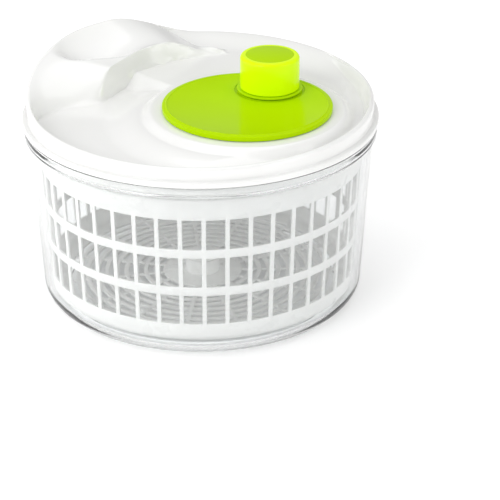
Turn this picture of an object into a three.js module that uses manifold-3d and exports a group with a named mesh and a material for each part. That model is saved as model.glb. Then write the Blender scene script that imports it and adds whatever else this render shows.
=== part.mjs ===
// Crank salad spinner: a clear bowl, a basket on a pivot, and a lid whose offset crank disc
// drives the basket through an internal ring gear and a pinion.
// Millimetres, +Z up. The origin is the centre of the bowl's underside.
import * as THREE from 'three'
import { mergeGeometries, mergeVertices } from 'three/addons/utils/BufferGeometryUtils.js'
import Module from 'manifold-3d'

const wasm = await Module()
wasm.setup()

// ---- clearances
const touchGap = 0.3            // between pieces that rest on each other
const runGap = 0.35             // round a turning pin, in radius
const driveGap = 0.6            // between a rotor lug and the ribs beside it

// ---- bowl
const bowlHeight = 128.2
const bowlBandRadius = 121.3    // outside of the stepped-out rim band
const bowlBandHeight = 9.5
const bowlBandStep = 2.8
const bowlWall = 2.4
const bowlTaper = 6.2           // how much narrower the wall is at the corner, in radius
const bowlCorner = 13
const bowlFloor = 3.4
const footRadius = 95
const footWidth = 5
const footHeight = 1.4
const pivotBossRadius = 8
const pivotPinRadius = 3
const pivotPinLength = 15

// ---- basket
const basketGap = 4.1           // to the bowl's wall, in radius
const basketBottomGap = 6.2     // between bowl floor and basket floor
const basketTaper = 4.6
const basketWall = 1.8
const basketFloor = 2
const basketCorner = 7
const basketRimDrop = 3.6        // basket's top below the bowl's
const basketRimWidth = 2
const basketRimHeight = 3
const windowCount = 45
const windowRows = 3
const windowBar = 2.9
const windowBand = 6.3          // between two rows
const windowStart = 14.6        // from the basket's underside to the lowest windows
const windowTopBand = 23        // from the highest windows to the basket's top
const slotRings = 3
const slotSpokes = 6
const slotWidth = 13
const slotBar = 10
const slotStart = 28
const hubRadius = 12
const bearingWall = 2.8
const bearingFlange = 9
const bearingFlangeHeight = 1.6
const hubCapHeight = 1.8
const driveRibCount = 6
const driveRibDepth = 4
const driveRibWidth = 3
const driveRibHeight = 9

// ---- lid
const lidSkirtOverhang = 0.7
const lidSkirtHeight = 3.6
const lidWall = 2
const lidPlugDepth = 6
const lidPlugGap = 0.4
const lidSkirtEdge = 0.8        // small slope on the skirt's upper edge
const dishHeight = 6.5          // dish surface above the skirt's underside
const rimCrest = 15.4           // mean height of the rim above the skirt's underside
const rimTilt = 3.1             // the rim climbs towards the back by this much
const rimWidth = 7.1
const rimProfile = [[3.4, -0.8], [5.2, 0]]      // out from the rim's foot, and up from the crest
const rimEdgeDrop = 2.4         // outer edge of the rim below its crest
const spoutRise = 17.2          // pouring lip above the rim
const dishClimb = 4.5           // the dish climbs towards the crank seat
const shelfRise = 19            // shelf behind the dish above the dish
const shelfBackRise = 3         // and its wall at the back above that
const shelfRadius = 103         // foot of the shelf's wall, about the crank's axis
const shelfWallRun = 4.5
const scoopDepth = 13
const crestInset = 2.2          // crest of the rim in from the lid's side
const crestSwing = 33           // and how far in the scoop's crest starts
const lipClimb = 20             // height that the crest gains along the scoop
const valleyRun = 11            // from the crest down to the floor behind it
const domeEdge = 160.5          // the dome's edge along the scoop, an azimuth
const domeEdgeWidth = 9
const domeEdgeRadius = 100      // where that edge reaches furthest round
const shoulderRun = 18          // how much longer the shelf's wall becomes beside the dome
const turretRise = 8.2          // crank seat above the dish
const turretSlope = 8
const turretLand = 9            // flat ring outside the crank opening
const pourSlotInset = 9         // from the rim's foot
const pourSlotLength = 18
const lidBossWall = 2           // round a housing screw

// ---- sweeps of the lid's sculpted side, in degrees about its axis, anticlockwise from +X
const spoutRamp = [92, 126]     // the rim climbs to the lip
const spoutFall = [136, 205]    // and comes down again
const shelfRamp = [76, 86]
const shelfFall = [198, 234]
const wallRamp = [80, 113]
const wallBack = [125, 150]
const domeFall = [157, 184]
const crestRamp = [90, 111]
const lipRamp = [86, 118]
const scoopRamp = [108, 148]
const valleyRamp = [104, 112]
const shoulderRamp = [168, 188]
const shoulderFall = [197, 214]
const footRamp = [174, 214]
const floorRamp = [-5, 62]      // the floor behind the crank is level with its seat
const floorFall = [136, 149]
const bankRamp = [22, 44]       // the rim's inner side leans inward at the back
const bankFall = [98, 110]
const pourSlotSweep = [149, 157]

// ---- crank and gears
const crankOffset = 40
const crankAzimuth = THREE.MathUtils.degToRad(-37)
const crankDiscRadius = 57.5
const crankDiscThickness = 3.2
const crankDiscLip = 0.5
const crankDiscLipWidth = 3.4
const crankDiscEdge = 0.9       // chamfer
const crankDiscLift = 1.1       // air between the disc and its seat
const crankOverlap = 2          // how far the disc covers its seat
const gearTeeth = 50
const pinionTeeth = 10
const gearModule = 2 * crankOffset / (gearTeeth - pinionTeeth)
const gearBacklash = 0.34       // taken off each tooth
const pressureAngle = THREE.MathUtils.degToRad(20)
const ringAddendum = 0.5        // in modules
const pinionAddendum = 0.7
const pinionHeight = 5.4
const gearWall = 1.7
const gearFlange = 2
const gearFlangeRadius = 14     // hole in the middle of the flange
const gearScrewReach = 20
const gearScrewGrip = 1.5       // depth of the screws in the disc
const crankHubRadius = 9
const crankScrewRadius = 3
const housingWall = 2
const housingFloor = 2
const housingEarRadius = 4.4
const housingEarReach = 4.2     // ear centre outside the housing's wall
const bushWall = 2.4
const bushFlange = 2
const bushFlangeHeight = 1.2
const washerHeight = 0.8
const screwRadius = 1.5
const screwHeadRadius = 2.8
const screwHeadHeight = 1.8
const screwLength = 7

// ---- drive shaft and rotor
const shaftRadius = 3
const clipHeight = 0.8
const clipWidth = 2.4
const rotorHubRadius = 9
const rotorThickness = 2.4
const rotorArms = 6
const rotorArmWidth = 11
const rotorRingWidth = 9
const rotorRimGap = 2.2         // between the rotor's ring and the basket's ribs
const rotorLugWidth = 8
const rotorDrop = 8.2           // rotor's upper face below the gear housing

// ---- knob
const knobOffset = 30           // from the crank's axis
const knobAzimuth = THREE.MathUtils.degToRad(59.5)
const knobRadius = 20.3
const knobHeight = 23.1
const knobWall = 2.4
const knobFillet = 2.6
const knobCollarRadius = 22.4
const knobCollarHeight = 1.3
const knobAxleRadius = 4
const knobTube = 2.6
const knobCapRadius = 16.2
const knobCapThickness = 1.2
const knobSocketDepth = 4.2
const knobBossRadius = 7
const capLedge = 1.5
const capDrop = 0.4             // cap seat below the cap's own thickness

// ---- places that follow from the sizes
const bowlRimZ = bowlHeight
const bowlWallRadius = bowlBandRadius - bowlBandStep
const basketZ = bowlFloor + basketBottomGap
const basketTopZ = bowlHeight - basketRimDrop
const basketHeight = basketTopZ - basketZ
const windowsHeight = basketHeight - windowStart - windowTopBand
const windowHeight = (windowsHeight - (windowRows - 1) * windowBand) / windowRows
const lidZ = bowlRimZ + touchGap
const lidSkirtRadius = bowlBandRadius + lidSkirtOverhang
const lidSideRadius = bowlBandRadius - bowlWall - lidPlugGap
const dishZ = lidZ + dishHeight
const turretZ = dishZ + turretRise
const rimInnerRadius = lidSideRadius - rimWidth
const crankOpeningRadius = crankDiscRadius - crankOverlap
const turretRadius = crankOpeningRadius + turretLand
const crankX = crankOffset * Math.cos(crankAzimuth)
const crankY = crankOffset * Math.sin(crankAzimuth)
const discZ = turretZ + crankDiscLift
const discTopZ = discZ + crankDiscThickness
const gearPitchRadius = gearTeeth * gearModule / 2
const gearRootRadius = gearPitchRadius + gearModule
const gearOuterRadius = gearRootRadius + gearWall
const gearTopZ = discZ - touchGap
const pinionPitchRadius = pinionTeeth * gearModule / 2
const bushRadius = shaftRadius + runGap + bushWall
const shaftTopZ = gearTopZ - gearFlange - 2 * touchGap
const clipZ = shaftTopZ - touchGap - clipHeight
const pinionTopZ = clipZ - touchGap
const pinionZ = pinionTopZ - pinionHeight
const washerZ = pinionZ - touchGap - washerHeight
const bushTopZ = washerZ - touchGap
const housingTopZ = turretZ - lidWall - touchGap
const housingInnerRadius = crankOpeningRadius - touchGap
const housingFloorTopZ = bushTopZ - bushFlangeHeight - touchGap
const gearBottomZ = housingFloorTopZ + 2 * touchGap
const housingZ = housingFloorTopZ - housingFloor
const rotorTopZ = housingZ - rotorDrop
const rotorHubTopZ = housingZ - touchGap
const ribInnerRadius = basketRadius(basketTopZ) - basketWall - driveRibDepth
const rotorRingRadius = ribInnerRadius - rotorRimGap
const knobX = crankX + knobOffset * Math.cos(knobAzimuth)
const knobY = crankY + knobOffset * Math.sin(knobAzimuth)
const collarZ = discTopZ + touchGap
const knobZ = collarZ + knobCollarHeight + touchGap
const knobTopZ = knobZ + knobHeight
const capSeatZ = knobTopZ - knobCapThickness - capDrop
const knobWebTopZ = capSeatZ - screwHeadHeight - washerHeight - 4 * touchGap
const knobAxleTopZ = knobWebTopZ + touchGap
const bearingFlangeZ = basketZ - touchGap - bearingFlangeHeight
const pinTopZ = bowlFloor + touchGap + pivotPinLength
const bearingTopZ = pinTopZ + touchGap + bearingWall
const hubTopZ = bearingTopZ + touchGap
const bearingRadius = pivotPinRadius + runGap + bearingWall

// ---- materials
const clearPlastic = new THREE.MeshStandardMaterial({
  color: 0xe4ebeb, roughness: 0.06, metalness: 0, transparent: true, opacity: 0.35 })
const whiteGloss = new THREE.MeshStandardMaterial({ color: 0xf6f6f4, roughness: 0.18, metalness: 0 })
const whiteSatin = new THREE.MeshStandardMaterial({ color: 0xeeeeea, roughness: 0.4, metalness: 0 })
const limeGloss = new THREE.MeshStandardMaterial({ color: 0xb4e000, roughness: 0.22, metalness: 0 })
const acetal = new THREE.MeshStandardMaterial({ color: 0xe6e4da, roughness: 0.5, metalness: 0 })
const steel = new THREE.MeshStandardMaterial({ color: 0xb9bcbf, roughness: 0.3, metalness: 1 })

const spinner = new THREE.Group()

// ---- how finely round pieces are faceted
const wideSegments = 40
const middleSegments = 40
const knobSegments = 28
const smallSegments = 16
const screwSegments = 10

// ---- helpers
function add(name, geometry, material, x = 0, y = 0) {
  const piece = new THREE.Mesh(geometry, material)
  piece.name = name
  piece.position.set(x, y, 0)
  spinner.add(piece)
}

// The same surface with shared corners and without the collapsed triangles at a pole.
function closed(geometry) {
  geometry.deleteAttribute('normal')
  geometry.deleteAttribute('uv')
  const merged = mergeVertices(geometry, 1e-4)
  const kept = []
  for (let corner = 0; corner < merged.index.count; corner += 3) {
    const [a, b, c] = [0, 1, 2].map((step) => merged.index.getX(corner + step))
    if (a !== b && b !== c && c !== a) {
      kept.push(a, b, c)
    }
  }
  merged.setIndex(kept)
  return merged
}

function solid(geometry) {
  const merged = closed(geometry)
  return new wasm.Manifold(new wasm.Mesh({
    numProp: 3,
    vertProperties: new Float32Array(merged.attributes.position.array),
    triVerts: new Uint32Array(merged.index.array),
  }))
}

function shell(body) {
  const mesh = body.getMesh()
  const geometry = new THREE.BufferGeometry()
  geometry.setAttribute('position', new THREE.BufferAttribute(mesh.vertProperties, 3))
  geometry.setIndex(new THREE.BufferAttribute(mesh.triVerts, 1))
  return geometry
}

// A closed outline of [radius, height] points, up the outside and down the inside, turned about +Z.
function turned(outline, segments = smallSegments) {
  const points = outline.map(([radius, height]) => new THREE.Vector2(radius, height))
  const first = outline[0]
  if (first[0] > 0) {
    points.push(new THREE.Vector2(first[0], first[1]))
  }
  const geometry = new THREE.LatheGeometry(points, segments)
  geometry.rotateX(Math.PI / 2)
  return geometry
}

function ring(outer, inner, low, high, segments = smallSegments) {
  return turned([[outer, low], [outer, high], [inner, high], [inner, low]], segments)
}

function rod(radius, low, high, segments = smallSegments) {
  return turned([[0, low], [radius, low], [radius, high], [0, high]], segments)
}

function plate(shape, low, high, curveSegments = 12) {
  const depth = high - low
  const geometry = new THREE.ExtrudeGeometry(shape, { depth, bevelEnabled: false, curveSegments })
  geometry.translate(0, 0, low)
  return geometry
}

function round(radius, x, y) {
  const path = new THREE.Path()
  path.absarc(x, y, radius, 0, 2 * Math.PI, true)
  return path
}

function quarterArc(centreR, centreZ, radius, from, to, steps) {
  return Array.from({ length: steps + 1 }, (_, step) => {
    const angle = THREE.MathUtils.degToRad(from + (to - from) * step / steps)
    return [centreR + radius * Math.cos(angle), centreZ + radius * Math.sin(angle)]
  })
}

function smooth(from, to, value) {
  return THREE.MathUtils.smoothstep(value, from, to)
}

function countersunkScrew(headZ, length, radius = screwRadius, headRadius = screwHeadRadius) {
  const seatZ = headZ + screwHeadHeight
  return turned([[0, headZ], [headRadius, headZ], [headRadius, seatZ], [radius, seatZ],
    [radius, seatZ + length], [0, seatZ + length]], screwSegments)
}

function bowlRadius(z) {
  const wallHeight = bowlHeight - bowlBandHeight - bowlCorner
  return bowlWallRadius - bowlTaper * (bowlHeight - bowlBandHeight - z) / wallHeight
}

function basketRadius(z) {
  const topRadius = bowlWallRadius - bowlWall - basketGap
  return topRadius - basketTaper * (basketTopZ - z) / (basketHeight - basketCorner)
}

// ---- bowl
function makeBowl() {
  const bandZ = bowlHeight - bowlBandHeight
  const cornerRadius = bowlRadius(bowlCorner)
  const innerCorner = bowlCorner - bowlWall
  const outline = [
    [0, footHeight], [footRadius, footHeight], [footRadius, 0], [footRadius + footWidth, 0],
    ...quarterArc(cornerRadius - bowlCorner, bowlCorner, bowlCorner, -75, 0, 3),
    [bowlWallRadius, bandZ], [bowlBandRadius, bandZ + bowlBandStep], [bowlBandRadius, bowlHeight],
    [bowlBandRadius - bowlWall, bowlHeight],
    [bowlBandRadius - bowlWall, bandZ + bowlBandStep + 1], [bowlWallRadius - bowlWall, bandZ],
    ...quarterArc(cornerRadius - bowlCorner, bowlFloor + innerCorner, innerCorner, 0, -90, 3),
    [pivotBossRadius, bowlFloor], [pivotBossRadius, bearingFlangeZ - touchGap],
    [pivotPinRadius + touchGap, bearingFlangeZ - touchGap],
    [pivotPinRadius + touchGap, bowlFloor], [0, bowlFloor],
  ]
  add('bowl', turned(outline, wideSegments), clearPlastic)
}

function makePivotPin() {
  const low = bowlFloor + touchGap
  const high = pinTopZ
  const dome = pivotPinRadius / 2
  add('pivot_pin', turned([[0, low], [pivotPinRadius, low], [pivotPinRadius, high - dome],
    [pivotPinRadius * 0.6, high - dome / 4], [0, high]]), steel)
}

// ---- basket
function basketShell() {
  const corner = basketRadius(basketZ + basketCorner)
  const inner = basketCorner - basketWall
  const rimZ = basketTopZ - basketRimHeight
  const bore = bearingRadius + runGap
  return solid(turned([
    [bore, basketZ],
    ...quarterArc(corner - basketCorner, basketZ + basketCorner, basketCorner, -90, 0, 2),
    [basketRadius(rimZ), rimZ], [basketRadius(rimZ) + basketRimWidth, rimZ],
    [basketRadius(rimZ) + basketRimWidth, basketTopZ],
    [basketRadius(basketTopZ) - basketWall, basketTopZ],
    ...quarterArc(corner - basketCorner, basketZ + basketFloor + inner, inner, 0, -90, 2),
    [hubRadius, basketZ + basketFloor], [hubRadius, hubTopZ], [bore, hubTopZ],
  ], windowCount))
}

function windowCutters() {
  const cutters = []
  const pitch = 2 * Math.PI / windowCount
  for (let row = 0; row < windowRows; row += 1) {
    const low = basketZ + windowStart + row * (windowHeight + windowBand)
    const radius = basketRadius(low)
    const width = radius * pitch - windowBar
    for (let column = 0; column < windowCount; column += 1) {
      const cutter = new THREE.BoxGeometry(6 * basketWall, width, windowHeight)
      cutter.translate(radius, 0, low + windowHeight / 2)
      cutter.rotateZ((column + 0.5) * pitch)
      cutters.push(closed(cutter))
    }
  }
  return solid(mergeGeometries(cutters))
}

function slotCutters() {
  const cutters = []
  const pitch = 2 * Math.PI / slotSpokes
  for (let index = 0; index < slotRings; index += 1) {
    const inner = slotStart + index * (slotWidth + slotBar)
    const outer = inner + slotWidth
    const half = pitch / 2 - slotBar / inner / 2
    for (let spoke = 0; spoke < slotSpokes; spoke += 1) {
      const shape = new THREE.Shape()
      shape.absarc(0, 0, outer, -half, half, false)
      shape.absarc(0, 0, inner, half, -half, true)
      const cutter = plate(shape, basketZ - basketFloor, basketZ + 2 * basketFloor, 3)
      cutter.rotateZ((spoke + 0.5) * pitch)
      cutters.push(closed(cutter))
    }
  }
  return solid(mergeGeometries(cutters))
}

// Ribs inside the basket's rim, in pairs, that the rotor's lugs push against.
function driveRibs() {
  const ribs = []
  const outer = basketRadius(basketTopZ - driveRibHeight) - basketWall / 2
  const spacing = rotorLugWidth / 2 + driveGap + driveRibWidth / 2
  for (let index = 0; index < driveRibCount; index += 1) {
    for (const side of [-1, 1]) {
      const rib = new THREE.BoxGeometry(outer - ribInnerRadius, driveRibWidth, driveRibHeight)
      rib.translate((outer + ribInnerRadius) / 2, side * spacing, basketTopZ - driveRibHeight / 2)
      rib.rotateZ(2 * Math.PI * index / driveRibCount)
      ribs.push(closed(rib))
    }
  }
  return solid(mergeGeometries(ribs))
}

function makeBasket() {
  const body = basketShell().add(driveRibs()).subtract(windowCutters()).subtract(slotCutters())
  add('basket', shell(body), whiteSatin)
}

function makeBasketBearing() {
  const bore = pivotPinRadius + runGap
  const flangeTopZ = bearingFlangeZ + bearingFlangeHeight
  add('basket_bearing', turned([
    [bore, bearingFlangeZ], [bearingFlange, bearingFlangeZ], [bearingFlange, flangeTopZ],
    [bearingRadius, flangeTopZ], [bearingRadius, bearingTopZ], [0, bearingTopZ],
    [0, pinTopZ + touchGap], [bore, pinTopZ + touchGap],
  ]), acetal)
}

function makeHubCap() {
  const low = hubTopZ + touchGap
  const high = low + hubCapHeight
  add('hub_cap', turned([[0, low], [hubRadius, low], [hubRadius, low + hubCapHeight / 2],
    [hubRadius - hubCapHeight / 2, high], [0, high]]), whiteSatin)
}

// ---- lid
const degree = THREE.MathUtils.radToDeg

function azimuthOf(x, y) {
  return (degree(Math.atan2(y, x)) + 360) % 360
}

// Distance along a ray from the lid's axis to a circle about the crank's axis.
function toCrankCircle(azimuth, radius) {
  const along = crankOffset * Math.cos(azimuth - crankAzimuth)
  return along + Math.sqrt(radius ** 2 - crankOffset ** 2 + along ** 2)
}

function rimZ(azimuth) {
  const spout = smooth(...spoutRamp, azimuth) * (1 - smooth(...spoutFall, azimuth))
  return lidZ + rimCrest + rimTilt * Math.sin(THREE.MathUtils.degToRad(azimuth)) + spoutRise * spout
}

// Low in front and at the left, and level with the crank seat at the back.
function floorZ(radius, azimuth, fromCrank) {
  const turned = (azimuth + 90) % 360 - 90
  const outward = Math.max(smooth(turretRadius + turretSlope, 98, fromCrank), smooth(98, 110, radius))
  const dish = dishZ + dishClimb * (1 - outward)
  const back = smooth(...floorRamp, turned) * (1 - smooth(...floorFall, turned))
  const level = dish + (dishZ + turretRise - 0.2 - dish) * back
  const seat = 1 - smooth(turretRadius, turretRadius + turretSlope, fromCrank)
  return level + (dishZ + turretRise - level) * seat
}

// Foot radius and run of the shelf's wall. Past the dome the foot meets the rim's foot.
function shelfStart(azimuth) {
  const leave = smooth(...footRamp, azimuth)
  const round = toCrankCircle(THREE.MathUtils.degToRad(azimuth), shelfRadius)
  const wider = smooth(...shoulderRamp, azimuth) * (1 - smooth(...shoulderFall, azimuth))
  return [round * (1 - leave) + rimInnerRadius * leave, shelfWallRun + shoulderRun * wider]
}

// The shelf behind the dish: a dome at the left, and a scoop that runs up to the pouring lip.
function shelfZ(radius, azimuth) {
  const [foot, run] = shelfStart(azimuth)
  const start = foot + run
  const rim = rimZ(azimuth)
  const top = lidSideRadius - crestInset
  const seatZ = dishZ + turretRise
  const falling = dishZ + shelfRise * (1 - smooth(...domeFall, azimuth))
  const back = dishZ + shelfRise + shelfBackRise * (1 - smooth(...wallBack, azimuth))
  const rising = seatZ + (back - seatZ) * smooth(...wallRamp, azimuth)
  const wallTop = azimuth > wallBack[1] ? falling : rising
  const across = THREE.MathUtils.clamp((radius - start) / Math.max(top - start, 1), 0, 1)
  const dome = wallTop + (rim - wallTop) * (1 - (1 - across) ** 1.4)
  const crestRadius = top - crestSwing * (1 - smooth(...crestRamp, azimuth))
  const crest = Math.min(rim, lidZ + rimCrest + rimTilt + lipClimb * smooth(...lipRamp, azimuth))
  const share = THREE.MathUtils.clamp((radius - start) / (crestRadius - start), 0, 1)
  const dip = scoopDepth * smooth(...scoopRamp, azimuth) * Math.sin(Math.PI * share ** 0.85)
  const behind = (crest - seatZ + 2) * smooth(crestRadius, crestRadius + valleyRun, radius)
  const scoop = wallTop + (crest - wallTop) * share - dip - behind * (1 - smooth(...valleyRamp, azimuth))
  const swing = (radius - domeEdgeRadius) / (radius < domeEdgeRadius ? 7.28 : 10.1)
  const edge = domeEdge - swing ** 2
  const beside = smooth(edge - domeEdgeWidth, edge, azimuth)
  return scoop + (dome - scoop) * beside
}

function lidTopZ(x, y) {
  const radius = Math.hypot(x, y)
  const azimuth = azimuthOf(x, y)
  const floor = floorZ(radius, azimuth, Math.hypot(x - crankX, y - crankY))
  const [foot, run] = shelfStart(azimuth)
  const climb = smooth(foot, foot + run, radius)
  const here = smooth(...shelfRamp, azimuth) * (1 - smooth(...shelfFall, azimuth))
  const rise = Math.max(shelfZ(radius, azimuth) - floor, 0) * climb * here
  const lean = smooth(...bankRamp, azimuth) * (1 - smooth(...bankFall, azimuth))
  const bank = lean * smooth(86, lidSideRadius - crestInset, radius) ** 1.3
  return Math.max(floor + rise, floor + (rimZ(azimuth) - floor) * bank)
}

// Outline of the lid along one ray, from the axis over the rim to the skirt.
function lidOutline(azimuth) {
  const angle = THREE.MathUtils.degToRad(azimuth)
  const limit = rimInnerRadius - 1
  const marks = [
    0, turretRadius, turretRadius + turretSlope * 0.3, turretRadius + turretSlope * 0.7,
    turretRadius + turretSlope, shelfRadius, shelfRadius + shelfWallRun,
  ].map((mark, index) => (mark ? Math.min(toCrankCircle(angle, mark), limit - 7 + index) : 0))
  const last = marks[marks.length - 1]
  const inner = marks.concat([0.25, 0.5, 0.75].map((share) => last + (rimInnerRadius - last) * share))
  const top = inner.map((radius) => [
    radius, lidTopZ(radius * Math.cos(angle), radius * Math.sin(angle))])
  const crest = rimZ(azimuth)
  const footZ = lidTopZ(rimInnerRadius * Math.cos(angle), rimInnerRadius * Math.sin(angle))
  const foot = Math.min(footZ, crest - 1)
  return top.concat([
    [rimInnerRadius, Math.max(foot, dishZ)],
    ...rimProfile.map(([out, up]) => [rimInnerRadius + out, crest + up]),
    [lidSideRadius, crest - rimEdgeDrop],
  ])
}

// The same outline moved inwards by the wall, point by point along its own normals.
function lidInnerOutline(outline) {
  return outline.map(([radius, z], index) => {
    const before = outline[Math.max(index - 1, 0)]
    const after = outline[Math.min(index + 1, outline.length - 1)]
    const along = new THREE.Vector2(after[0] - before[0], after[1] - before[1]).normalize()
    const moved = [radius + along.y * lidWall, z - along.x * lidWall]
    const side = lidSideRadius - lidWall
    return index === 0 ? [0, z - lidWall] : [Math.min(moved[0], side), moved[1]]
  })
}

function lidShell() {
  const segments = wideSegments
  const rows = lidOutline(0).length
  const ledgeZ = lidZ + lidSkirtHeight
  const plugZ = lidZ - lidPlugDepth
  const sideRadius = lidSideRadius
  const skirt = [
    [sideRadius + lidSkirtEdge / 2, ledgeZ + lidSkirtEdge / 2],
    [lidSkirtRadius - 0.75 * lidSkirtEdge, ledgeZ],
    [lidSkirtRadius, ledgeZ - lidSkirtEdge], [lidSkirtRadius, lidZ],
    [sideRadius, lidZ], [sideRadius, plugZ], [sideRadius - lidWall, plugZ],
  ]
  const count = 2 * rows + skirt.length
  const blank = Array.from({ length: count }, (_, index) => new THREE.Vector2(1, index))
  const geometry = new THREE.LatheGeometry(blank, segments)
  geometry.rotateX(Math.PI / 2)
  const position = geometry.attributes.position
  for (let segment = 0; segment <= segments; segment += 1) {
    const azimuth = 360 * (segment % segments) / segments
    const angle = THREE.MathUtils.degToRad(azimuth)
    const outer = lidOutline(azimuth)
    const loop = lidInnerOutline(outer).concat(skirt.slice().reverse(), outer.slice().reverse())
    loop.forEach(([radius, z], index) => {
      position.setXYZ(segment * count + index, radius * Math.cos(angle), radius * Math.sin(angle), z)
    })
  }
  return solid(geometry)
}

function earPlaces() {
  const reach = housingInnerRadius + housingWall + housingEarReach
  return [0, 1, 2, 3].map((index) => {
    const angle = crankAzimuth + Math.PI / 4 + index * Math.PI / 2
    return [crankX + reach * Math.cos(angle), crankY + reach * Math.sin(angle)]
  })
}

function pourSlot() {
  const shape = new THREE.Shape()
  const [from, to] = pourSlotSweep.map(THREE.MathUtils.degToRad)
  const outer = rimInnerRadius - pourSlotInset
  shape.absarc(0, 0, outer, from, to, false)
  shape.absarc(0, 0, outer - pourSlotLength, to, from, true)
  return solid(plate(shape, lidZ, lidZ + rimCrest + 2 * spoutRise, 4))
}

function makeLid() {
  let body = lidShell()
  const opening = rod(crankOpeningRadius, lidZ, turretZ + lidWall, middleSegments)
  const bossLow = housingZ + housingFloor + touchGap
  const bossHigh = turretZ - lidWall / 2
  opening.translate(crankX, crankY, 0)
  body = body.subtract(solid(opening)).subtract(pourSlot())
  earPlaces().forEach(([x, y]) => {
    const boss = ring(screwRadius + lidBossWall, screwRadius + touchGap, bossLow, bossHigh, screwSegments)
    boss.translate(x, y, 0)
    body = body.add(solid(boss))
  })
  add('lid_shell', shell(body), whiteGloss)
}

// ---- gear housing under the lid
function makeGearHousing() {
  const outer = housingInnerRadius + housingWall
  const shape = new THREE.Shape()
  shape.absarc(crankX, crankY, outer, 0, 2 * Math.PI, false)
  shape.holes.push(round(bushRadius + touchGap, crankX, crankY), round(bushRadius + touchGap, 0, 0))
  let body = solid(plate(shape, housingZ, housingFloorTopZ, middleSegments / 2))
  const wall = ring(outer, housingInnerRadius, housingZ, housingTopZ, middleSegments)
  wall.translate(crankX, crankY, 0)
  body = body.add(solid(wall))
  earPlaces().forEach(([x, y]) => {
    const ear = rod(housingEarRadius, housingZ, housingFloorTopZ)
    ear.translate(x, y, 0)
    body = body.add(solid(ear))
  })
  earPlaces().forEach(([x, y]) => {
    const hole = rod(screwRadius + touchGap, housingZ - 1, housingFloorTopZ + 1, screwSegments)
    hole.translate(x, y, 0)
    body = body.subtract(solid(hole))
  })
  const bore = rod(housingInnerRadius, housingFloorTopZ, housingTopZ + 1, middleSegments)
  bore.translate(crankX, crankY, 0)
  add('gear_housing', shell(body.subtract(solid(bore))), whiteSatin)
}

function makeHousingScrews() {
  earPlaces().forEach(([x, y], index) => {
    const headZ = housingZ - touchGap - screwHeadHeight
    add(`housing_screw_${index + 1}`, countersunkScrew(headZ, screwLength), steel, x, y)
  })
}

function flangedBush(bore) {
  const low = housingZ
  const flangeZ = housingFloorTopZ + touchGap
  return turned([[bore, low], [bushRadius, low], [bushRadius, flangeZ], [bushRadius + bushFlange, flangeZ],
    [bushRadius + bushFlange, flangeZ + bushFlangeHeight], [bore, flangeZ + bushFlangeHeight]])
}

// ---- crank
function makeCrankDisc() {
  const hubLow = bushTopZ + washerHeight + 2 * touchGap
  const lipRadius = crankDiscRadius - crankDiscLipWidth
  const edge = crankDiscEdge
  let body = solid(turned([
    [crankScrewRadius + touchGap, hubLow], [crankHubRadius, hubLow], [crankHubRadius, discZ],
    [crankDiscRadius - edge, discZ], [crankDiscRadius, discZ + edge], [crankDiscRadius, discTopZ - edge],
    [crankDiscRadius - edge, discTopZ], [lipRadius, discTopZ],
    [lipRadius - crankDiscLip, discTopZ - crankDiscLip],
    [0, discTopZ - crankDiscLip], [0, discZ], [crankScrewRadius + touchGap, discZ],
  ], middleSegments))
  const boss = rod(knobBossRadius, gearTopZ - gearFlange, discTopZ - 1)
  boss.translate(knobX - crankX, knobY - crankY, 0)
  const socket = rod(knobAxleRadius + touchGap, discTopZ - knobSocketDepth, discTopZ + 1)
  socket.translate(knobX - crankX, knobY - crankY, 0)
  body = body.add(solid(boss)).subtract(solid(socket))
  gearScrewPlaces().forEach(([x, y]) => {
    const hole = rod(screwRadius + touchGap, discZ - 1, discZ + gearScrewGrip + touchGap, screwSegments)
    hole.translate(x, y, 0)
    body = body.subtract(solid(hole))
  })
  add('crank_disc', shell(body), limeGloss, crankX, crankY)
}

// Half the angle of an involute tooth at a radius, from its thickness on the pitch circle.
function toothHalfAngle(radius, pitchRadius, thickness) {
  const baseRadius = pitchRadius * Math.cos(pressureAngle)
  const involute = (at) => {
    const angle = Math.acos(Math.min(baseRadius / at, 1))
    return Math.tan(angle) - angle
  }
  return thickness / 2 / pitchRadius + involute(pitchRadius) - involute(Math.max(radius, baseRadius))
}

// Outline of a gear with involute flanks and one tooth centred on the line of centres.
function gearPath(path, teeth, rootRadius, tipRadius, thickness) {
  const pitchRadius = teeth * gearModule / 2
  const flank = [rootRadius, tipRadius]
  const start = crankAzimuth + Math.PI
  const points = []
  for (let tooth = 0; tooth < teeth; tooth += 1) {
    const centre = start + 2 * Math.PI * tooth / teeth
    const half = flank.map((radius) => toothHalfAngle(radius, pitchRadius, thickness))
    points.push([flank[0], centre - half[0]], [flank[1], centre - half[1]])
    points.push([flank[1], centre + half[1]], [flank[0], centre + half[0]])
  }
  path.setFromPoints(points.map(([radius, angle]) => (
    new THREE.Vector2(radius * Math.cos(angle), radius * Math.sin(angle)))))
  return path
}

const circularPitch = Math.PI * gearModule

function gearScrewPlaces() {
  return [0, 1, 2, 3].map((index) => {
    const angle = knobAzimuth + Math.PI / 4 + index * Math.PI / 2
    return [gearScrewReach * Math.cos(angle), gearScrewReach * Math.sin(angle)]
  })
}

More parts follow.
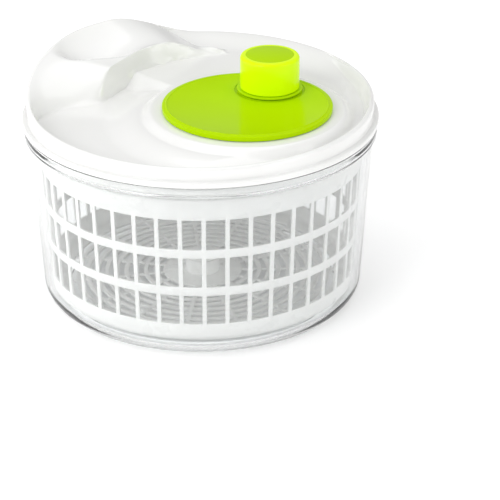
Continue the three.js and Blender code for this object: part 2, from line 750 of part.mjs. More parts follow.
function makeRingGear() {
  const tip = gearPitchRadius - ringAddendum * gearModule
  const shape = new THREE.Shape()
  shape.absarc(0, 0, gearOuterRadius, 0, 2 * Math.PI, false)
  const space = circularPitch / 2 + gearBacklash
  shape.holes.push(gearPath(new THREE.Path(), gearTeeth, tip, gearRootRadius, space))
  let body = solid(plate(shape, gearBottomZ, gearTopZ - gearFlange, middleSegments / 2))
  const flange = ring(gearOuterRadius, gearFlangeRadius, gearTopZ - gearFlange, gearTopZ, middleSegments)
  const notch = rod(knobBossRadius + touchGap, gearTopZ - 2 * gearFlange, gearTopZ + 1)
  notch.translate(knobX - crankX, knobY - crankY, 0)
  body = body.add(solid(flange)).subtract(solid(notch))
  gearScrewPlaces().forEach(([x, y]) => {
    const hole = rod(screwRadius + touchGap, gearTopZ - 2 * gearFlange, gearTopZ + 1, screwSegments)
    hole.translate(x, y, 0)
    body = body.subtract(solid(hole))
  })
  add('ring_gear', shell(body), acetal, crankX, crankY)
}

function makeGearScrews() {
  gearScrewPlaces().forEach(([x, y], index) => {
    const headZ = gearTopZ - gearFlange - touchGap - screwHeadHeight
    const length = gearFlange + 2 * touchGap + gearScrewGrip
    add(`gear_screw_${index + 1}`, countersunkScrew(headZ, length), steel, crankX + x, crankY + y)
  })
}

function makeCrankBearing() {
  const bore = crankScrewRadius + runGap
  const washer = ring(bushRadius + bushFlange, bore, washerZ, washerZ + washerHeight)
  add('crank_bush', flangedBush(bore), acetal, crankX, crankY)
  add('crank_washer', washer, steel, crankX, crankY)
  const headZ = housingZ - touchGap - screwHeadHeight
  const length = discZ - touchGap - headZ - screwHeadHeight
  const headRadius = bushRadius - touchGap
  const screw = countersunkScrew(headZ, length, crankScrewRadius, headRadius)
  add('crank_screw', screw, steel, crankX, crankY)
}

// ---- pinion, shaft and rotor on the lid's axis
function makePinion() {
  const shape = new THREE.Shape()
  const tooth = circularPitch / 2 - gearBacklash
  const tip = pinionPitchRadius + pinionAddendum * gearModule
  gearPath(shape, pinionTeeth, pinionPitchRadius - gearModule, tip, tooth)
  shape.holes.push(round(shaftRadius + touchGap, 0, 0))
  add('drive_pinion', plate(shape, pinionZ, pinionTopZ, 10), acetal)
}

function makeShaft() {
  const bore = shaftRadius + runGap
  const low = rotorTopZ - rotorThickness
  add('drive_shaft', turned([
    [screwRadius + touchGap, low], [shaftRadius, low], [shaftRadius, shaftTopZ], [0, shaftTopZ],
    [0, low + screwLength], [screwRadius + touchGap, low + screwLength],
  ]), steel)
  const clipBore = shaftRadius + touchGap
  add('shaft_clip', ring(clipBore + clipWidth, clipBore, clipZ, clipZ + clipHeight), steel)
  add('shaft_washer', ring(bushRadius + bushFlange, bore, washerZ, washerZ + washerHeight), steel)
  add('shaft_bush', flangedBush(bore), acetal)
}

function makeRotor() {
  const low = rotorTopZ - rotorThickness
  const inner = rotorRingRadius - rotorRingWidth
  let body = solid(ring(rotorRingRadius, inner, low, rotorTopZ, wideSegments))
  body = body.add(solid(rod(rotorHubRadius, low, rotorHubTopZ)))
  for (let arm = 0; arm < rotorArms; arm += 1) {
    const reach = rotorRingRadius - rotorRingWidth / 2
    const spoke = new THREE.BoxGeometry(reach, rotorArmWidth, rotorThickness)
    spoke.translate(reach / 2, 0, low + rotorThickness / 2)
    spoke.rotateZ(2 * Math.PI * (arm + 0.5) / rotorArms)
    body = body.add(solid(spoke))
  }
  const lugOuter = ribInnerRadius + driveRibDepth - 1
  const lugInner = rotorRingRadius - rotorRingWidth / 2
  for (let lug = 0; lug < driveRibCount; lug += 1) {
    const tooth = new THREE.BoxGeometry(lugOuter - lugInner, rotorLugWidth, rotorThickness)
    tooth.translate((lugOuter + lugInner) / 2, 0, low + rotorThickness / 2)
    tooth.rotateZ(2 * Math.PI * lug / driveRibCount)
    body = body.add(solid(tooth))
  }
  body = body.subtract(solid(rod(shaftRadius + touchGap, low - 1, rotorHubTopZ + 1)))
  add('drive_rotor', shell(body), whiteSatin)
  const washerLow = low - touchGap - washerHeight
  const washer = ring(rotorHubRadius - 1, screwRadius + runGap, washerLow, washerLow + washerHeight)
  add('rotor_washer', washer, steel)
  const headZ = washerLow - touchGap - screwHeadHeight
  const length = screwLength - touchGap + washerHeight
  add('rotor_screw', countersunkScrew(headZ, length, screwRadius, screwHeadRadius + 1), steel)
}

// ---- knob
function makeKnob() {
  const bore = knobAxleRadius + runGap
  const tube = bore + knobTube
  const skin = knobRadius - knobWall
  const chamber = knobCapRadius - capLedge
  const webZ = knobWebTopZ - knobWall
  const collar = ring(knobCollarRadius, bore, collarZ, collarZ + knobCollarHeight, knobSegments)
  const axleZ = discTopZ - knobSocketDepth + touchGap
  add('knob_collar', collar, limeGloss, knobX, knobY)
  add('knob_axle', turned([
    [0, axleZ], [knobAxleRadius, axleZ], [knobAxleRadius, knobAxleTopZ],
    [screwRadius + touchGap, knobAxleTopZ],
    [screwRadius + touchGap, knobAxleTopZ - screwLength], [0, knobAxleTopZ - screwLength],
  ]), steel, knobX, knobY)
  add('knob', turned([
    [bore, knobZ], [tube, knobZ], [tube, webZ], [skin, webZ], [skin, knobZ], [knobRadius, knobZ],
    ...quarterArc(knobRadius - knobFillet, knobTopZ - knobFillet, knobFillet, 0, 90, 3),
    [knobCapRadius + touchGap, knobTopZ], [knobCapRadius + touchGap, capSeatZ], [chamber, capSeatZ],
    [chamber, knobWebTopZ], [bore, knobWebTopZ],
  ], knobSegments), limeGloss, knobX, knobY)
  const washerLow = knobAxleTopZ + touchGap
  const washerHigh = washerLow + washerHeight
  const washer = ring(knobAxleRadius + 3, screwRadius + runGap, washerLow, washerHigh)
  add('knob_washer', washer, steel, knobX, knobY)
  const headZ = washerHigh + touchGap
  const shankLow = headZ - screwLength + touchGap
  add('knob_screw', turned([
    [0, shankLow], [screwRadius, shankLow], [screwRadius, headZ], [screwHeadRadius, headZ],
    [screwHeadRadius, headZ + screwHeadHeight], [0, headZ + screwHeadHeight],
  ], screwSegments), steel, knobX, knobY)
  add('knob_cap', turned([
    [0, capSeatZ + touchGap], [knobCapRadius, capSeatZ + touchGap], [knobCapRadius, knobTopZ - capDrop],
    [knobCapRadius - capDrop, knobTopZ], [0, knobTopZ],
  ], knobSegments), limeGloss, knobX, knobY)
}

makeBowl()
makePivotPin()
makeBasket()
makeBasketBearing()
makeHubCap()
makeLid()
makeGearHousing()
makeHousingScrews()
makeCrankDisc()
makeRingGear()
makeGearScrews()
makeCrankBearing()
makePinion()
makeShaft()
makeRotor()
makeKnob()

export default spinner
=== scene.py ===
import math

import bmesh
import bpy
import numpy as np
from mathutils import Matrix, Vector


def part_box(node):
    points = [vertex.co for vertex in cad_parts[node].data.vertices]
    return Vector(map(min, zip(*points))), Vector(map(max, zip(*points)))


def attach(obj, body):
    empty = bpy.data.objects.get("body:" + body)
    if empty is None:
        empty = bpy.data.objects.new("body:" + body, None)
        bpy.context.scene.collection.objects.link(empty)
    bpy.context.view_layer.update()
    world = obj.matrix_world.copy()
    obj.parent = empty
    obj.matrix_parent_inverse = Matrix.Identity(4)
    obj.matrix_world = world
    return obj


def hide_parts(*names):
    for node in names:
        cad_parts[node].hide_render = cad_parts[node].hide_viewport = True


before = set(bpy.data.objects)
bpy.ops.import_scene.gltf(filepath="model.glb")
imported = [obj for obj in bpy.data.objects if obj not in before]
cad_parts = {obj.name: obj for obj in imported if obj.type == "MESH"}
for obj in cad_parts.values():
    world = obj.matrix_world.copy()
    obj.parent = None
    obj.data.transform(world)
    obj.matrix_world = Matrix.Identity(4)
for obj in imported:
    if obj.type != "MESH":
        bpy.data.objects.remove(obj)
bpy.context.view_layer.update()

MM = 0.001

# ---------------------------------------------------------------- camera
AIM = Vector((0.0337, 0.0, 0.0252))
CAMERA_DISTANCE = 1.4
CAMERA_ELEVATION = math.radians(26.42)
LENS = 142.0
SENSOR = 36.0


def make_camera():
    data = bpy.data.cameras.new("camera")
    data.lens = LENS
    data.sensor_width = SENSOR
    camera = bpy.data.objects.new("camera", data)
    away = Vector((0, -math.cos(CAMERA_ELEVATION), math.sin(CAMERA_ELEVATION)))
    camera.location = AIM + CAMERA_DISTANCE * away
    camera.rotation_euler = (AIM - camera.location).to_track_quat("-Z", "Y").to_euler()
    bpy.context.scene.collection.objects.link(camera)
    bpy.context.scene.camera = camera


make_camera()

# ---------------------------------------------------------------- sizes read from the frame, in mm
def size_of(node):
    low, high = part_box(node)
    return low / MM, high / MM


BOWL_HIGH = size_of("bowl")[1]
LID_HIGH = size_of("lid_shell")[1]
BASKET_LOW, BASKET_HIGH = size_of("basket")
DISC_LOW, DISC_HIGH = size_of("crank_disc")
GEAR_LOW, GEAR_HIGH = size_of("ring_gear")
PINION_LOW, PINION_HIGH = size_of("drive_pinion")
HOUSING_LOW, HOUSING_HIGH = size_of("gear_housing")
ROTOR_LOW, ROTOR_HIGH = size_of("drive_rotor")
KNOB_LOW, KNOB_HIGH = size_of("knob")
CAP_LOW, CAP_HIGH = size_of("knob_cap")
COLLAR_LOW, COLLAR_HIGH = size_of("knob_collar")

BAND_RADIUS = BOWL_HIGH.x
SKIRT_RADIUS = LID_HIGH.x
LID_Z = BOWL_HIGH.z + 0.3
DISC_RADIUS = (DISC_HIGH.x - DISC_LOW.x) / 2
CRANK = Vector(((DISC_HIGH.x + DISC_LOW.x) / 2, (DISC_HIGH.y + DISC_LOW.y) / 2, 0))
KNOB_RADIUS = (KNOB_HIGH.x - KNOB_LOW.x) / 2
COLLAR_RADIUS = (COLLAR_HIGH.x - COLLAR_LOW.x) / 2
KNOB = Vector(((KNOB_HIGH.x + KNOB_LOW.x) / 2, (KNOB_HIGH.y + KNOB_LOW.y) / 2, 0))
ORIGIN = Vector((0, 0, 0))

# ---------------------------------------------------------------- materials
def srgb(code):
    """A linear colour from an sRGB hex code."""
    channels = [int(code[i:i + 2], 16) / 255 for i in (1, 3, 5)]
    linear = [c / 12.92 if c <= 0.04045 else ((c + 0.055) / 1.055) ** 2.4 for c in channels]
    return (*linear, 1.0)


def add_node(tree, kind, settings=None, links=None, **inputs):
    """Adds a node, sets its properties and inputs, and links sockets into it."""
    node = tree.nodes.new(kind)
    for name, value in (settings or {}).items():
        setattr(node, name, value)
    for name, value in inputs.items():
        node.inputs[name.replace("_", " ")].default_value = value
    for name, source in (links or {}).items():
        tree.links.new(source, node.inputs[name])
    return node


# Widths of the marks on the skins, in mm.
FLOW_MARK = 60
HANDLING_MARK = 22
LATHE_RING = 3                  # coarser than the real 0.1 to 0.2 mm, so that it shows
CLEAR_RIPPLE = 45
CLEAR_SMEAR = 18
COAT_ROUGHNESS = 0.06
CLEAR_DENSITY = 36.0            # how fast the clear wall darkens with its depth


def moulded_plastic(name, colour, shade, roughness, ior, grain_mm, grain_depth, coat=0.0, specular=0.5):
    """Injection-moulded plastic: a smooth skin with faint flow marks, orange peel and handling marks."""
    material = bpy.data.materials.new(name)
    material.use_nodes = True
    tree = material.node_tree
    tree.nodes.clear()
    place = add_node(tree, "ShaderNodeTexCoord").outputs["Object"]
    flow = add_node(tree, "ShaderNodeTexNoise", links={"Vector": place},
                    Scale=1 / (FLOW_MARK * MM), Detail=2.0)
    tint = add_node(tree, "ShaderNodeMix", {"data_type": "RGBA"}, {"Factor": flow.outputs["Fac"]})
    tint.inputs["A"].default_value = srgb(colour)
    tint.inputs["B"].default_value = srgb(shade)
    smear = add_node(tree, "ShaderNodeTexNoise", links={"Vector": place},
                     Scale=1 / (HANDLING_MARK * MM), Detail=4.0)
    gloss = add_node(tree, "ShaderNodeMapRange", links={"Value": smear.outputs["Fac"]},
                     To_Min=roughness * 0.8, To_Max=roughness * 1.25)
    gloss.inputs["From Min"].default_value = 0.3
    gloss.inputs["From Max"].default_value = 0.7
    peel = add_node(tree, "ShaderNodeTexNoise", links={"Vector": place}, Scale=1 / (grain_mm * MM),
                    Detail=2.0)
    bump = add_node(tree, "ShaderNodeBump", links={"Height": peel.outputs["Fac"]}, Strength=0.25,
                    Distance=grain_depth * MM)
    skin = add_node(tree, "ShaderNodeBsdfPrincipled", links={
        "Base Color": tint.outputs["Result"], "Roughness": gloss.outputs["Result"],
        "Normal": bump.outputs["Normal"]},
        IOR=ior, Coat_Weight=coat, Coat_Roughness=COAT_ROUGHNESS, Specular_IOR_Level=specular)
    add_node(tree, "ShaderNodeOutputMaterial", links={"Surface": skin.outputs["BSDF"]})
    return material


def turned_steel(name, colour, roughness):
    """Bright turned stainless steel: fine lathe rings and a little smear."""
    material = bpy.data.materials.new(name)
    material.use_nodes = True
    tree = material.node_tree
    tree.nodes.clear()
    place = add_node(tree, "ShaderNodeTexCoord").outputs["Object"]
    rings = add_node(tree, "ShaderNodeTexWave", {"bands_direction": "Z"}, {"Vector": place},
                     Scale=1 / (LATHE_RING * MM), Distortion=0.6, Detail=2.0)
    gloss = add_node(tree, "ShaderNodeMapRange", links={"Value": rings.outputs["Fac"]},
                     To_Min=roughness * 0.8, To_Max=roughness * 1.3)
    bump = add_node(tree, "ShaderNodeBump", links={"Height": rings.outputs["Fac"]}, Strength=0.3,
                    Distance=0.02 * MM)
    skin = add_node(tree, "ShaderNodeBsdfPrincipled", links={
        "Roughness": gloss.outputs["Result"], "Normal": bump.outputs["Normal"]},
        Base_Color=srgb(colour), Metallic=1.0)
    add_node(tree, "ShaderNodeOutputMaterial", links={"Surface": skin.outputs["BSDF"]})
    return material


def clear_plastic(name, colour, ior, roughness):
    """Clear moulded SAN: polished, water-white, with a long slow ripple, and greyer where it is thick."""
    material = bpy.data.materials.new(name)
    material.use_nodes = True
    tree = material.node_tree
    tree.nodes.clear()
    place = add_node(tree, "ShaderNodeTexCoord").outputs["Object"]
    ripple = add_node(tree, "ShaderNodeTexNoise", links={"Vector": place},
                      Scale=1 / (CLEAR_RIPPLE * MM), Detail=1.0)
    bump = add_node(tree, "ShaderNodeBump", links={"Height": ripple.outputs["Fac"]}, Strength=0.1,
                    Distance=0.05 * MM)
    smear = add_node(tree, "ShaderNodeTexNoise", links={"Vector": place},
                     Scale=1 / (CLEAR_SMEAR * MM), Detail=4.0)
    gloss = add_node(tree, "ShaderNodeMapRange", links={"Value": smear.outputs["Fac"]},
                     To_Min=roughness * 0.6, To_Max=roughness * 1.5)
    skin = add_node(tree, "ShaderNodeBsdfPrincipled", links={
        "Roughness": gloss.outputs["Result"], "Normal": bump.outputs["Normal"]},
        Base_Color=srgb(colour), IOR=ior, Transmission_Weight=1.0)
    through = add_node(tree, "ShaderNodeBsdfTransparent", Color=srgb(colour))
    path = add_node(tree, "ShaderNodeLightPath")
    lamps = add_node(tree, "ShaderNodeMixShader")
    tree.links.new(path.outputs["Is Shadow Ray"], lamps.inputs[0])
    tree.links.new(skin.outputs["BSDF"], lamps.inputs[1])
    tree.links.new(through.outputs["BSDF"], lamps.inputs[2])
    depth = add_node(tree, "ShaderNodeVolumeAbsorption", Color=srgb("#DADADA"), Density=CLEAR_DENSITY)
    add_node(tree, "ShaderNodeOutputMaterial", links={"Surface": lamps.outputs["Shader"],
                                                      "Volume": depth.outputs["Volume"]})
    return material


# Styrene-acrylonitrile, polished in the mould: clear, and faintly grey where it is thick. The IOR is set a
# little under the 1.57 of the solid.
CLEAR = clear_plastic("clear_san_polished", "#FAFBFB", 1.5, 0.02)
# High-gloss ABS: bluish-free white with an even, wet-looking skin.
LID_WHITE = moulded_plastic("white_abs_high_gloss", "#EFEFEE", "#E9E9E7", 0.16, 1.5, 1.4, 0.01, coat=0.3)
# Polypropylene basket: whiter than natural PP, with a soft sheen.
BASKET_WHITE = moulded_plastic("white_polypropylene_moulded", "#F6F6F5", "#EFEFED", 0.3, 1.49, 0.9, 0.02)
# Polypropylene of the hidden parts: satin, as from an etched tool.
HOUSING_WHITE = moulded_plastic("white_polypropylene_satin", "#EFEFEB", "#E6E6E2", 0.42, 1.49, 0.6, 0.03)
# Lime ABS with a glossy skin.
LIME = moulded_plastic("lime_abs_gloss", "#B3DB00", "#ADD500", 0.2, 1.52, 1.2, 0.012, specular=0.03)
# The same lime ABS made lighter for the knob, which is moulded apart from the disc: painted light, standing
# in for the extra light on the knob's upright sides.
LIME_PAINTED_LIT = moulded_plastic("lime_abs_painted_lit_gloss", "#DCFF06", "#D8FB04", 0.16, 1.52, 1.2, 0.012,
                            specular=0.12)
# Acetal gears and bushes: dense, slightly waxy ivory.
ACETAL = moulded_plastic("ivory_acetal_moulded", "#E9E7DD", "#DFDCD0", 0.38, 1.48, 0.7, 0.02)
# Stainless pins, screws and washers.
STEEL = turned_steel("stainless_steel_turned", "#C4C7CA", 0.24)

# ---------------------------------------------------------------- mesh helpers
SMOOTH_ANGLE = math.radians(38)


def finish_mesh(name, mesh, material):
    """Makes an object at the origin from a mesh in metres, shaded smooth between soft edges."""
    mesh.materials.clear()
    mesh.materials.append(material)
    mesh.shade_smooth()
    mesh.set_sharp_from_angle(angle=SMOOTH_ANGLE)
    piece = bpy.data.objects.new(name, mesh)
    bpy.context.scene.collection.objects.link(piece)
    return piece


def arc(centre_r, centre_z, radius, start, stop, steps):
    """Points of a round stretch of an outline, in degrees."""
    angles = [math.radians(start + (stop - start) * i / steps) for i in range(steps + 1)]
    return [(centre_r + radius * math.cos(a), centre_z + radius * math.sin(a)) for a in angles]


ON_AXIS = 1e-6                  # a point this near the axis is one vertex, not a ring


def turned_mesh(name, outline, segments, centre=ORIGIN):
    """Turns a list of (radius, height) points about a vertical axis. Ends off the axis are joined."""
    mesh = bpy.data.meshes.new(name)
    bm = bmesh.new()
    rings = []
    for radius, z in outline:
        if radius < ON_AXIS:
            vertex = bm.verts.new((centre.x * MM, centre.y * MM, z * MM))
            rings.append([vertex] * segments)
            continue
        ring = []
        for i in range(segments):
            angle = 2 * math.pi * i / segments
            x = centre.x + radius * math.cos(angle)
            y = centre.y + radius * math.sin(angle)
            ring.append(bm.verts.new((x * MM, y * MM, z * MM)))
        rings.append(ring)
    pairs = list(zip(rings, rings[1:]))
    if outline[0][0] > ON_AXIS:
        pairs.append((rings[-1], rings[0]))
    for low, high in pairs:
        for i in range(segments):
            j = (i + 1) % segments
            corners = []
            for vertex in (low[i], low[j], high[j], high[i]):
                if vertex not in corners:
                    corners.append(vertex)
            if len(corners) > 2:
                bm.faces.new(corners)
    bm.to_mesh(mesh)
    bm.free()
    return mesh


def turned_piece(name, outline, segments, material, centre=ORIGIN):
    return finish_mesh(name, turned_mesh(name, outline, segments, centre), material)

# ---------------------------------------------------------------- repeats, made with geometry nodes
def make_round_repeat():
    """A node tree that repeats a piece round a vertical axis and welds the repeats."""
    tree = bpy.data.node_groups.new("repeat_round_axis", "GeometryNodeTree")
    face = tree.interface
    face.new_socket("Piece", in_out="INPUT", socket_type="NodeSocketGeometry")
    for label, kind in (("Count", "Int"), ("Reach", "Float"), ("First angle", "Float"),
                        ("Centre", "Vector"), ("Weld", "Float"), ("Finish", "Material")):
        face.new_socket(label, in_out="INPUT", socket_type="NodeSocket" + kind)
    face.new_socket("Pieces", in_out="OUTPUT", socket_type="NodeSocketGeometry")
    given = add_node(tree, "NodeGroupInput").outputs
    circle = add_node(tree, "GeometryNodeMeshCircle", links={
        "Vertices": given["Count"], "Radius": given["Reach"]})
    turn = add_node(tree, "ShaderNodeCombineXYZ", links={"Z": given["First angle"]})
    places = add_node(tree, "GeometryNodeTransform", links={
        "Geometry": circle.outputs["Mesh"], "Rotation": turn.outputs["Vector"],
        "Translation": given["Centre"]})
    pitch = add_node(tree, "ShaderNodeMath", {"operation": "DIVIDE"})
    pitch.inputs[0].default_value = 2 * math.pi
    tree.links.new(given["Count"], pitch.inputs[1])
    number = add_node(tree, "GeometryNodeInputIndex")
    angle = add_node(tree, "ShaderNodeMath", {"operation": "MULTIPLY_ADD"})
    tree.links.new(number.outputs["Index"], angle.inputs[0])
    tree.links.new(pitch.outputs["Value"], angle.inputs[1])
    tree.links.new(given["First angle"], angle.inputs[2])
    facing = add_node(tree, "ShaderNodeCombineXYZ", links={"Z": angle.outputs["Value"]})
    copies = add_node(tree, "GeometryNodeInstanceOnPoints", links={
        "Points": places.outputs["Geometry"], "Instance": given["Piece"],
        "Rotation": facing.outputs["Vector"]})
    real = add_node(tree, "GeometryNodeRealizeInstances", links={"Geometry": copies.outputs["Instances"]})
    welded = add_node(tree, "GeometryNodeMergeByDistance", links={
        "Geometry": real.outputs["Geometry"], "Distance": given["Weld"]})
    finished = add_node(tree, "GeometryNodeSetMaterial", links={
        "Geometry": welded.outputs["Geometry"], "Material": given["Finish"]})
    add_node(tree, "NodeGroupOutput", links={"Pieces": finished.outputs["Geometry"]})
    return tree


ROUND_REPEAT = make_round_repeat()
WELD = 0.002


def repeated_mesh(name, piece, material, count, reach=0.0, first=0.0, centre=ORIGIN, edge=0.0):
    """Repeats a mesh round an axis, softens its edges by edge mm and returns the plain mesh."""
    carrier = bpy.data.objects.new(name + "_pattern", piece)
    bpy.context.scene.collection.objects.link(carrier)
    modifier = carrier.modifiers.new("repeat", "NODES")
    modifier.node_group = ROUND_REPEAT
    values = {"Count": count, "Reach": reach * MM, "First angle": first, "Centre": centre * MM,
              "Weld": WELD * MM, "Finish": material}
    for item in ROUND_REPEAT.interface.items_tree:
        if item.item_type == "SOCKET" and item.name in values:
            modifier[item.identifier] = values[item.name]
    if edge:
        soften(carrier, edge)
    return baked(carrier, name)


def soften(carrier, edge):
    bevel = carrier.modifiers.new("soft_edges", "BEVEL")
    bevel.width = edge * MM
    bevel.segments = 2
    bevel.limit_method = "ANGLE"
    bevel.angle_limit = math.radians(42)


def baked(carrier, name):
    """The evaluated mesh of an object, which is then removed."""
    depsgraph = bpy.context.evaluated_depsgraph_get()
    mesh = bpy.data.meshes.new_from_object(carrier.evaluated_get(depsgraph))
    mesh.name = name
    before = carrier.data
    bpy.data.objects.remove(carrier)
    bpy.data.meshes.remove(before)
    return mesh


def softened_mesh(name, mesh, edge):
    carrier = bpy.data.objects.new(name + "_pattern", mesh)
    bpy.context.scene.collection.objects.link(carrier)
    soften(carrier, edge)
    return baked(carrier, name)


def joined_mesh(name, meshes):
    whole = bmesh.new()
    for mesh in meshes:
        whole.from_mesh(mesh)
        bpy.data.meshes.remove(mesh)
    mesh = bpy.data.meshes.new(name)
    whole.to_mesh(mesh)
    whole.free()
    return mesh


def grid_mesh(name, rows, closed_rows=True, closed_columns=True, holes=()):
    """Joins rows of points with faces. A hole is (row, opposite row, first column, last column): it is cut
    through from the faces above one row to those above the other."""
    count = len(rows)
    width = len(rows[0])
    points = [tuple(c * MM for c in point) for row in rows for point in row]
    open_cells = set()
    faces = []
    for low, far, first, last in holes:
        for column in range(first, last):
            open_cells.update({(low, column), (far, column)})
            faces.append((cell(low, column, width), cell(low, column + 1, width),
                          cell(far + 1, column + 1, width), cell(far + 1, column, width)))
            faces.append((cell(low + 1, column + 1, width), cell(low + 1, column, width),
                          cell(far, column, width), cell(far, column + 1, width)))
        faces.append((cell(low, last, width), cell(low + 1, last, width), cell(far, last, width),
                      cell(far + 1, last, width)))
        faces.append((cell(low + 1, first, width), cell(low, first, width), cell(far + 1, first, width),
                      cell(far, first, width)))
    for row in range(count if closed_rows else count - 1):
        for column in range(width if closed_columns else width - 1):
            if (row, column) not in open_cells:
                above = (row + 1) % count
                beside = (column + 1) % width
                faces.append((cell(row, column, width), cell(row, beside, width),
                              cell(above, beside, width), cell(above, column, width)))
    mesh = bpy.data.meshes.new(name)
    mesh.from_pydata(points, [], faces)
    mesh.update()
    return mesh


def cell(row, column, width):
    return row * width + column


def box_mesh(name, low, high):
    """A closed box between two corners, in mm."""
    bm = bmesh.new()
    bmesh.ops.create_cube(bm, size=1.0)
    for vertex in bm.verts:
        share = [c + 0.5 for c in vertex.co]
        vertex.co = [(low[i] + (high[i] - low[i]) * share[i]) * MM for i in range(3)]
    mesh = bpy.data.meshes.new(name)
    bm.to_mesh(mesh)
    bm.free()
    return mesh


def fit(piece, body, slot, *nodes):
    """Says which body a piece rides on and hides the plain solids it stands for. The slot, the finish it
    takes, is not used.
    """
    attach(piece, body)
    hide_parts(*nodes)


# ---------------------------------------------------------------- bowl
BOWL_WALL = 2.4
BOWL_FLOOR = 3.4
BOWL_CORNER = 13.0
BOWL_TAPER = 6.2
BAND_HEIGHT = 9.5
BAND_STEP = 2.8
BAND_Z = BOWL_HIGH.z - BAND_HEIGHT
FOOT_INNER = 95.0
FOOT_HEIGHT = 1.4
BOSS_RADIUS = 8.0
BOSS_Z = 7.4
PIN_RADIUS = 3.0
PIN_POCKET = 3.3
PIN_LOW = 3.7
PIN_HIGH = 18.7


def bowl_radius(z):
    return BAND_RADIUS - BAND_STEP - BOWL_TAPER * (BAND_Z - z) / (BAND_Z - BOWL_CORNER)


def make_bowl():
    corner = bowl_radius(BOWL_CORNER)
    side = bowl_radius(BAND_Z)
    top = BOWL_HIGH.z
    inner = BAND_RADIUS - BOWL_WALL
    inner_corner = BOWL_CORNER - BOWL_WALL
    outline = [(0, FOOT_HEIGHT), (FOOT_INNER - 0.6, FOOT_HEIGHT),
               *arc(FOOT_INNER - 0.6, FOOT_HEIGHT - 0.6, 0.6, 90, 0, 3)]
    outline += arc(FOOT_INNER + 0.5, 0.5, 0.5, 180, 270, 3)
    outline += arc(corner - BOWL_CORNER, BOWL_CORNER, BOWL_CORNER, -90, 0, 20)
    outline += [(side - 0.03, BAND_Z - 0.6), (side + 0.15, BAND_Z + 0.1)]
    outline += [(BAND_RADIUS - 0.5, BAND_Z + BAND_STEP - 0.5), (BAND_RADIUS - 0.1, BAND_Z + BAND_STEP),
                (BAND_RADIUS, BAND_Z + BAND_STEP + 0.5)]
    outline += arc(BAND_RADIUS - 0.6, top - 0.6, 0.6, 0, 90, 4)
    outline += arc(inner + 0.6, top - 0.6, 0.6, 90, 180, 4)
    outline += [(inner, BAND_Z + BAND_STEP + 1.4), (inner - 0.2, BAND_Z + BAND_STEP + 0.7)]
    outline += [(side - BOWL_WALL + 0.2, BAND_Z + 0.3), (side - BOWL_WALL, BAND_Z - 0.5)]
    outline += arc(corner - BOWL_CORNER, BOWL_FLOOR + inner_corner, inner_corner, 0, -90, 16)
    outline += [(BOSS_RADIUS + 1.2, BOWL_FLOOR), (BOSS_RADIUS + 0.35, BOWL_FLOOR + 0.35),
                (BOSS_RADIUS, BOWL_FLOOR + 1.2)]
    outline += arc(BOSS_RADIUS - 0.5, BOSS_Z - 0.5, 0.5, 0, 90, 3)
    outline += [(PIN_POCKET + 0.3, BOSS_Z), (PIN_POCKET, BOSS_Z - 0.3), (PIN_POCKET, BOWL_FLOOR),
                (0, BOWL_FLOOR)]
    fit(turned_piece("bowl_moulding", outline, 540, CLEAR), "bowl", "clear_plastic", "bowl")
    pin = [(0, PIN_LOW), (PIN_RADIUS - 0.3, PIN_LOW), (PIN_RADIUS, PIN_LOW + 0.3)]
    pin += [(PIN_RADIUS, PIN_HIGH - 2)] + arc(PIN_RADIUS - 2, PIN_HIGH - 2, 2, 10, 80, 5) + [(0, PIN_HIGH)]
    fit(turned_piece("pivot_pin_turned", pin, 40, STEEL), "bowl", "steel", "pivot_pin")


# ---------------------------------------------------------------- basket
BASKET_Z = BASKET_LOW.z
BASKET_TOP = BASKET_HIGH.z
BASKET_TAPER = 4.6
BASKET_WALL = 1.8
BASKET_FLOOR = 2.0
BASKET_CORNER = 7.0
BASKET_RIM_WIDTH = 2.0
BASKET_RIM_HEIGHT = 3.0
BASKET_TOP_RADIUS = BAND_RADIUS - BAND_STEP - BOWL_WALL - 4.1
WINDOW_ROWS = ((24.2, 45.8), (52.1, 73.7), (80.0, 101.6))
PLAIN_Z = 112.0                 # the wall above the windows is plain up to here
WINDOW_PITCH = 8.0              # degrees
WINDOW_BAR = 0.77               # half a bar, in degrees
WINDOW_COLUMNS = (0, WINDOW_BAR, 2.95, 5.05, 7.23)
SECTOR_WINDOWS = 3
SECTORS = 15
SPOKE_HALF = 1.27
SLOT_START = 28.0
SLOT_PITCH = 6.9
SLOT_WIDTH = 3.9
SLOT_RINGS = 10
FLOOR_EDGE = 98.0
HUB_RADIUS = 12.0
HUB_BORE = 6.5
HUB_TOP = 22.1
RIB_PAIRS = 6
RIB_INNER = 106.2
RIB_HALF_GAP = 4.6
RIB_WIDTH = 3.0
RIB_HEIGHT = 9.0


def basket_radius(z):
    height = BASKET_TOP - BASKET_Z - BASKET_CORNER
    return BASKET_TOP_RADIUS - BASKET_TAPER * (BASKET_TOP - z) / height


def basket_columns(radius):
    """Angles of a sector's columns. Windows keep their width in degrees, the floor's spokes in mm."""
    shape = [WINDOW_PITCH * i + a for i in range(SECTOR_WINDOWS) for a in WINDOW_COLUMNS]
    shape.append(SECTOR_WINDOWS * WINDOW_PITCH)
    if radius >= FLOOR_EDGE:
        return shape
    sector = shape[-1]
    spoke = math.degrees(SPOKE_HALF / max(radius, HUB_RADIUS))
    spread = (sector - 2 * spoke) / (sector - 2 * WINDOW_BAR)
    return [0.0] + [spoke + (a - WINDOW_BAR) * spread for a in shape[1:-1]] + [sector]


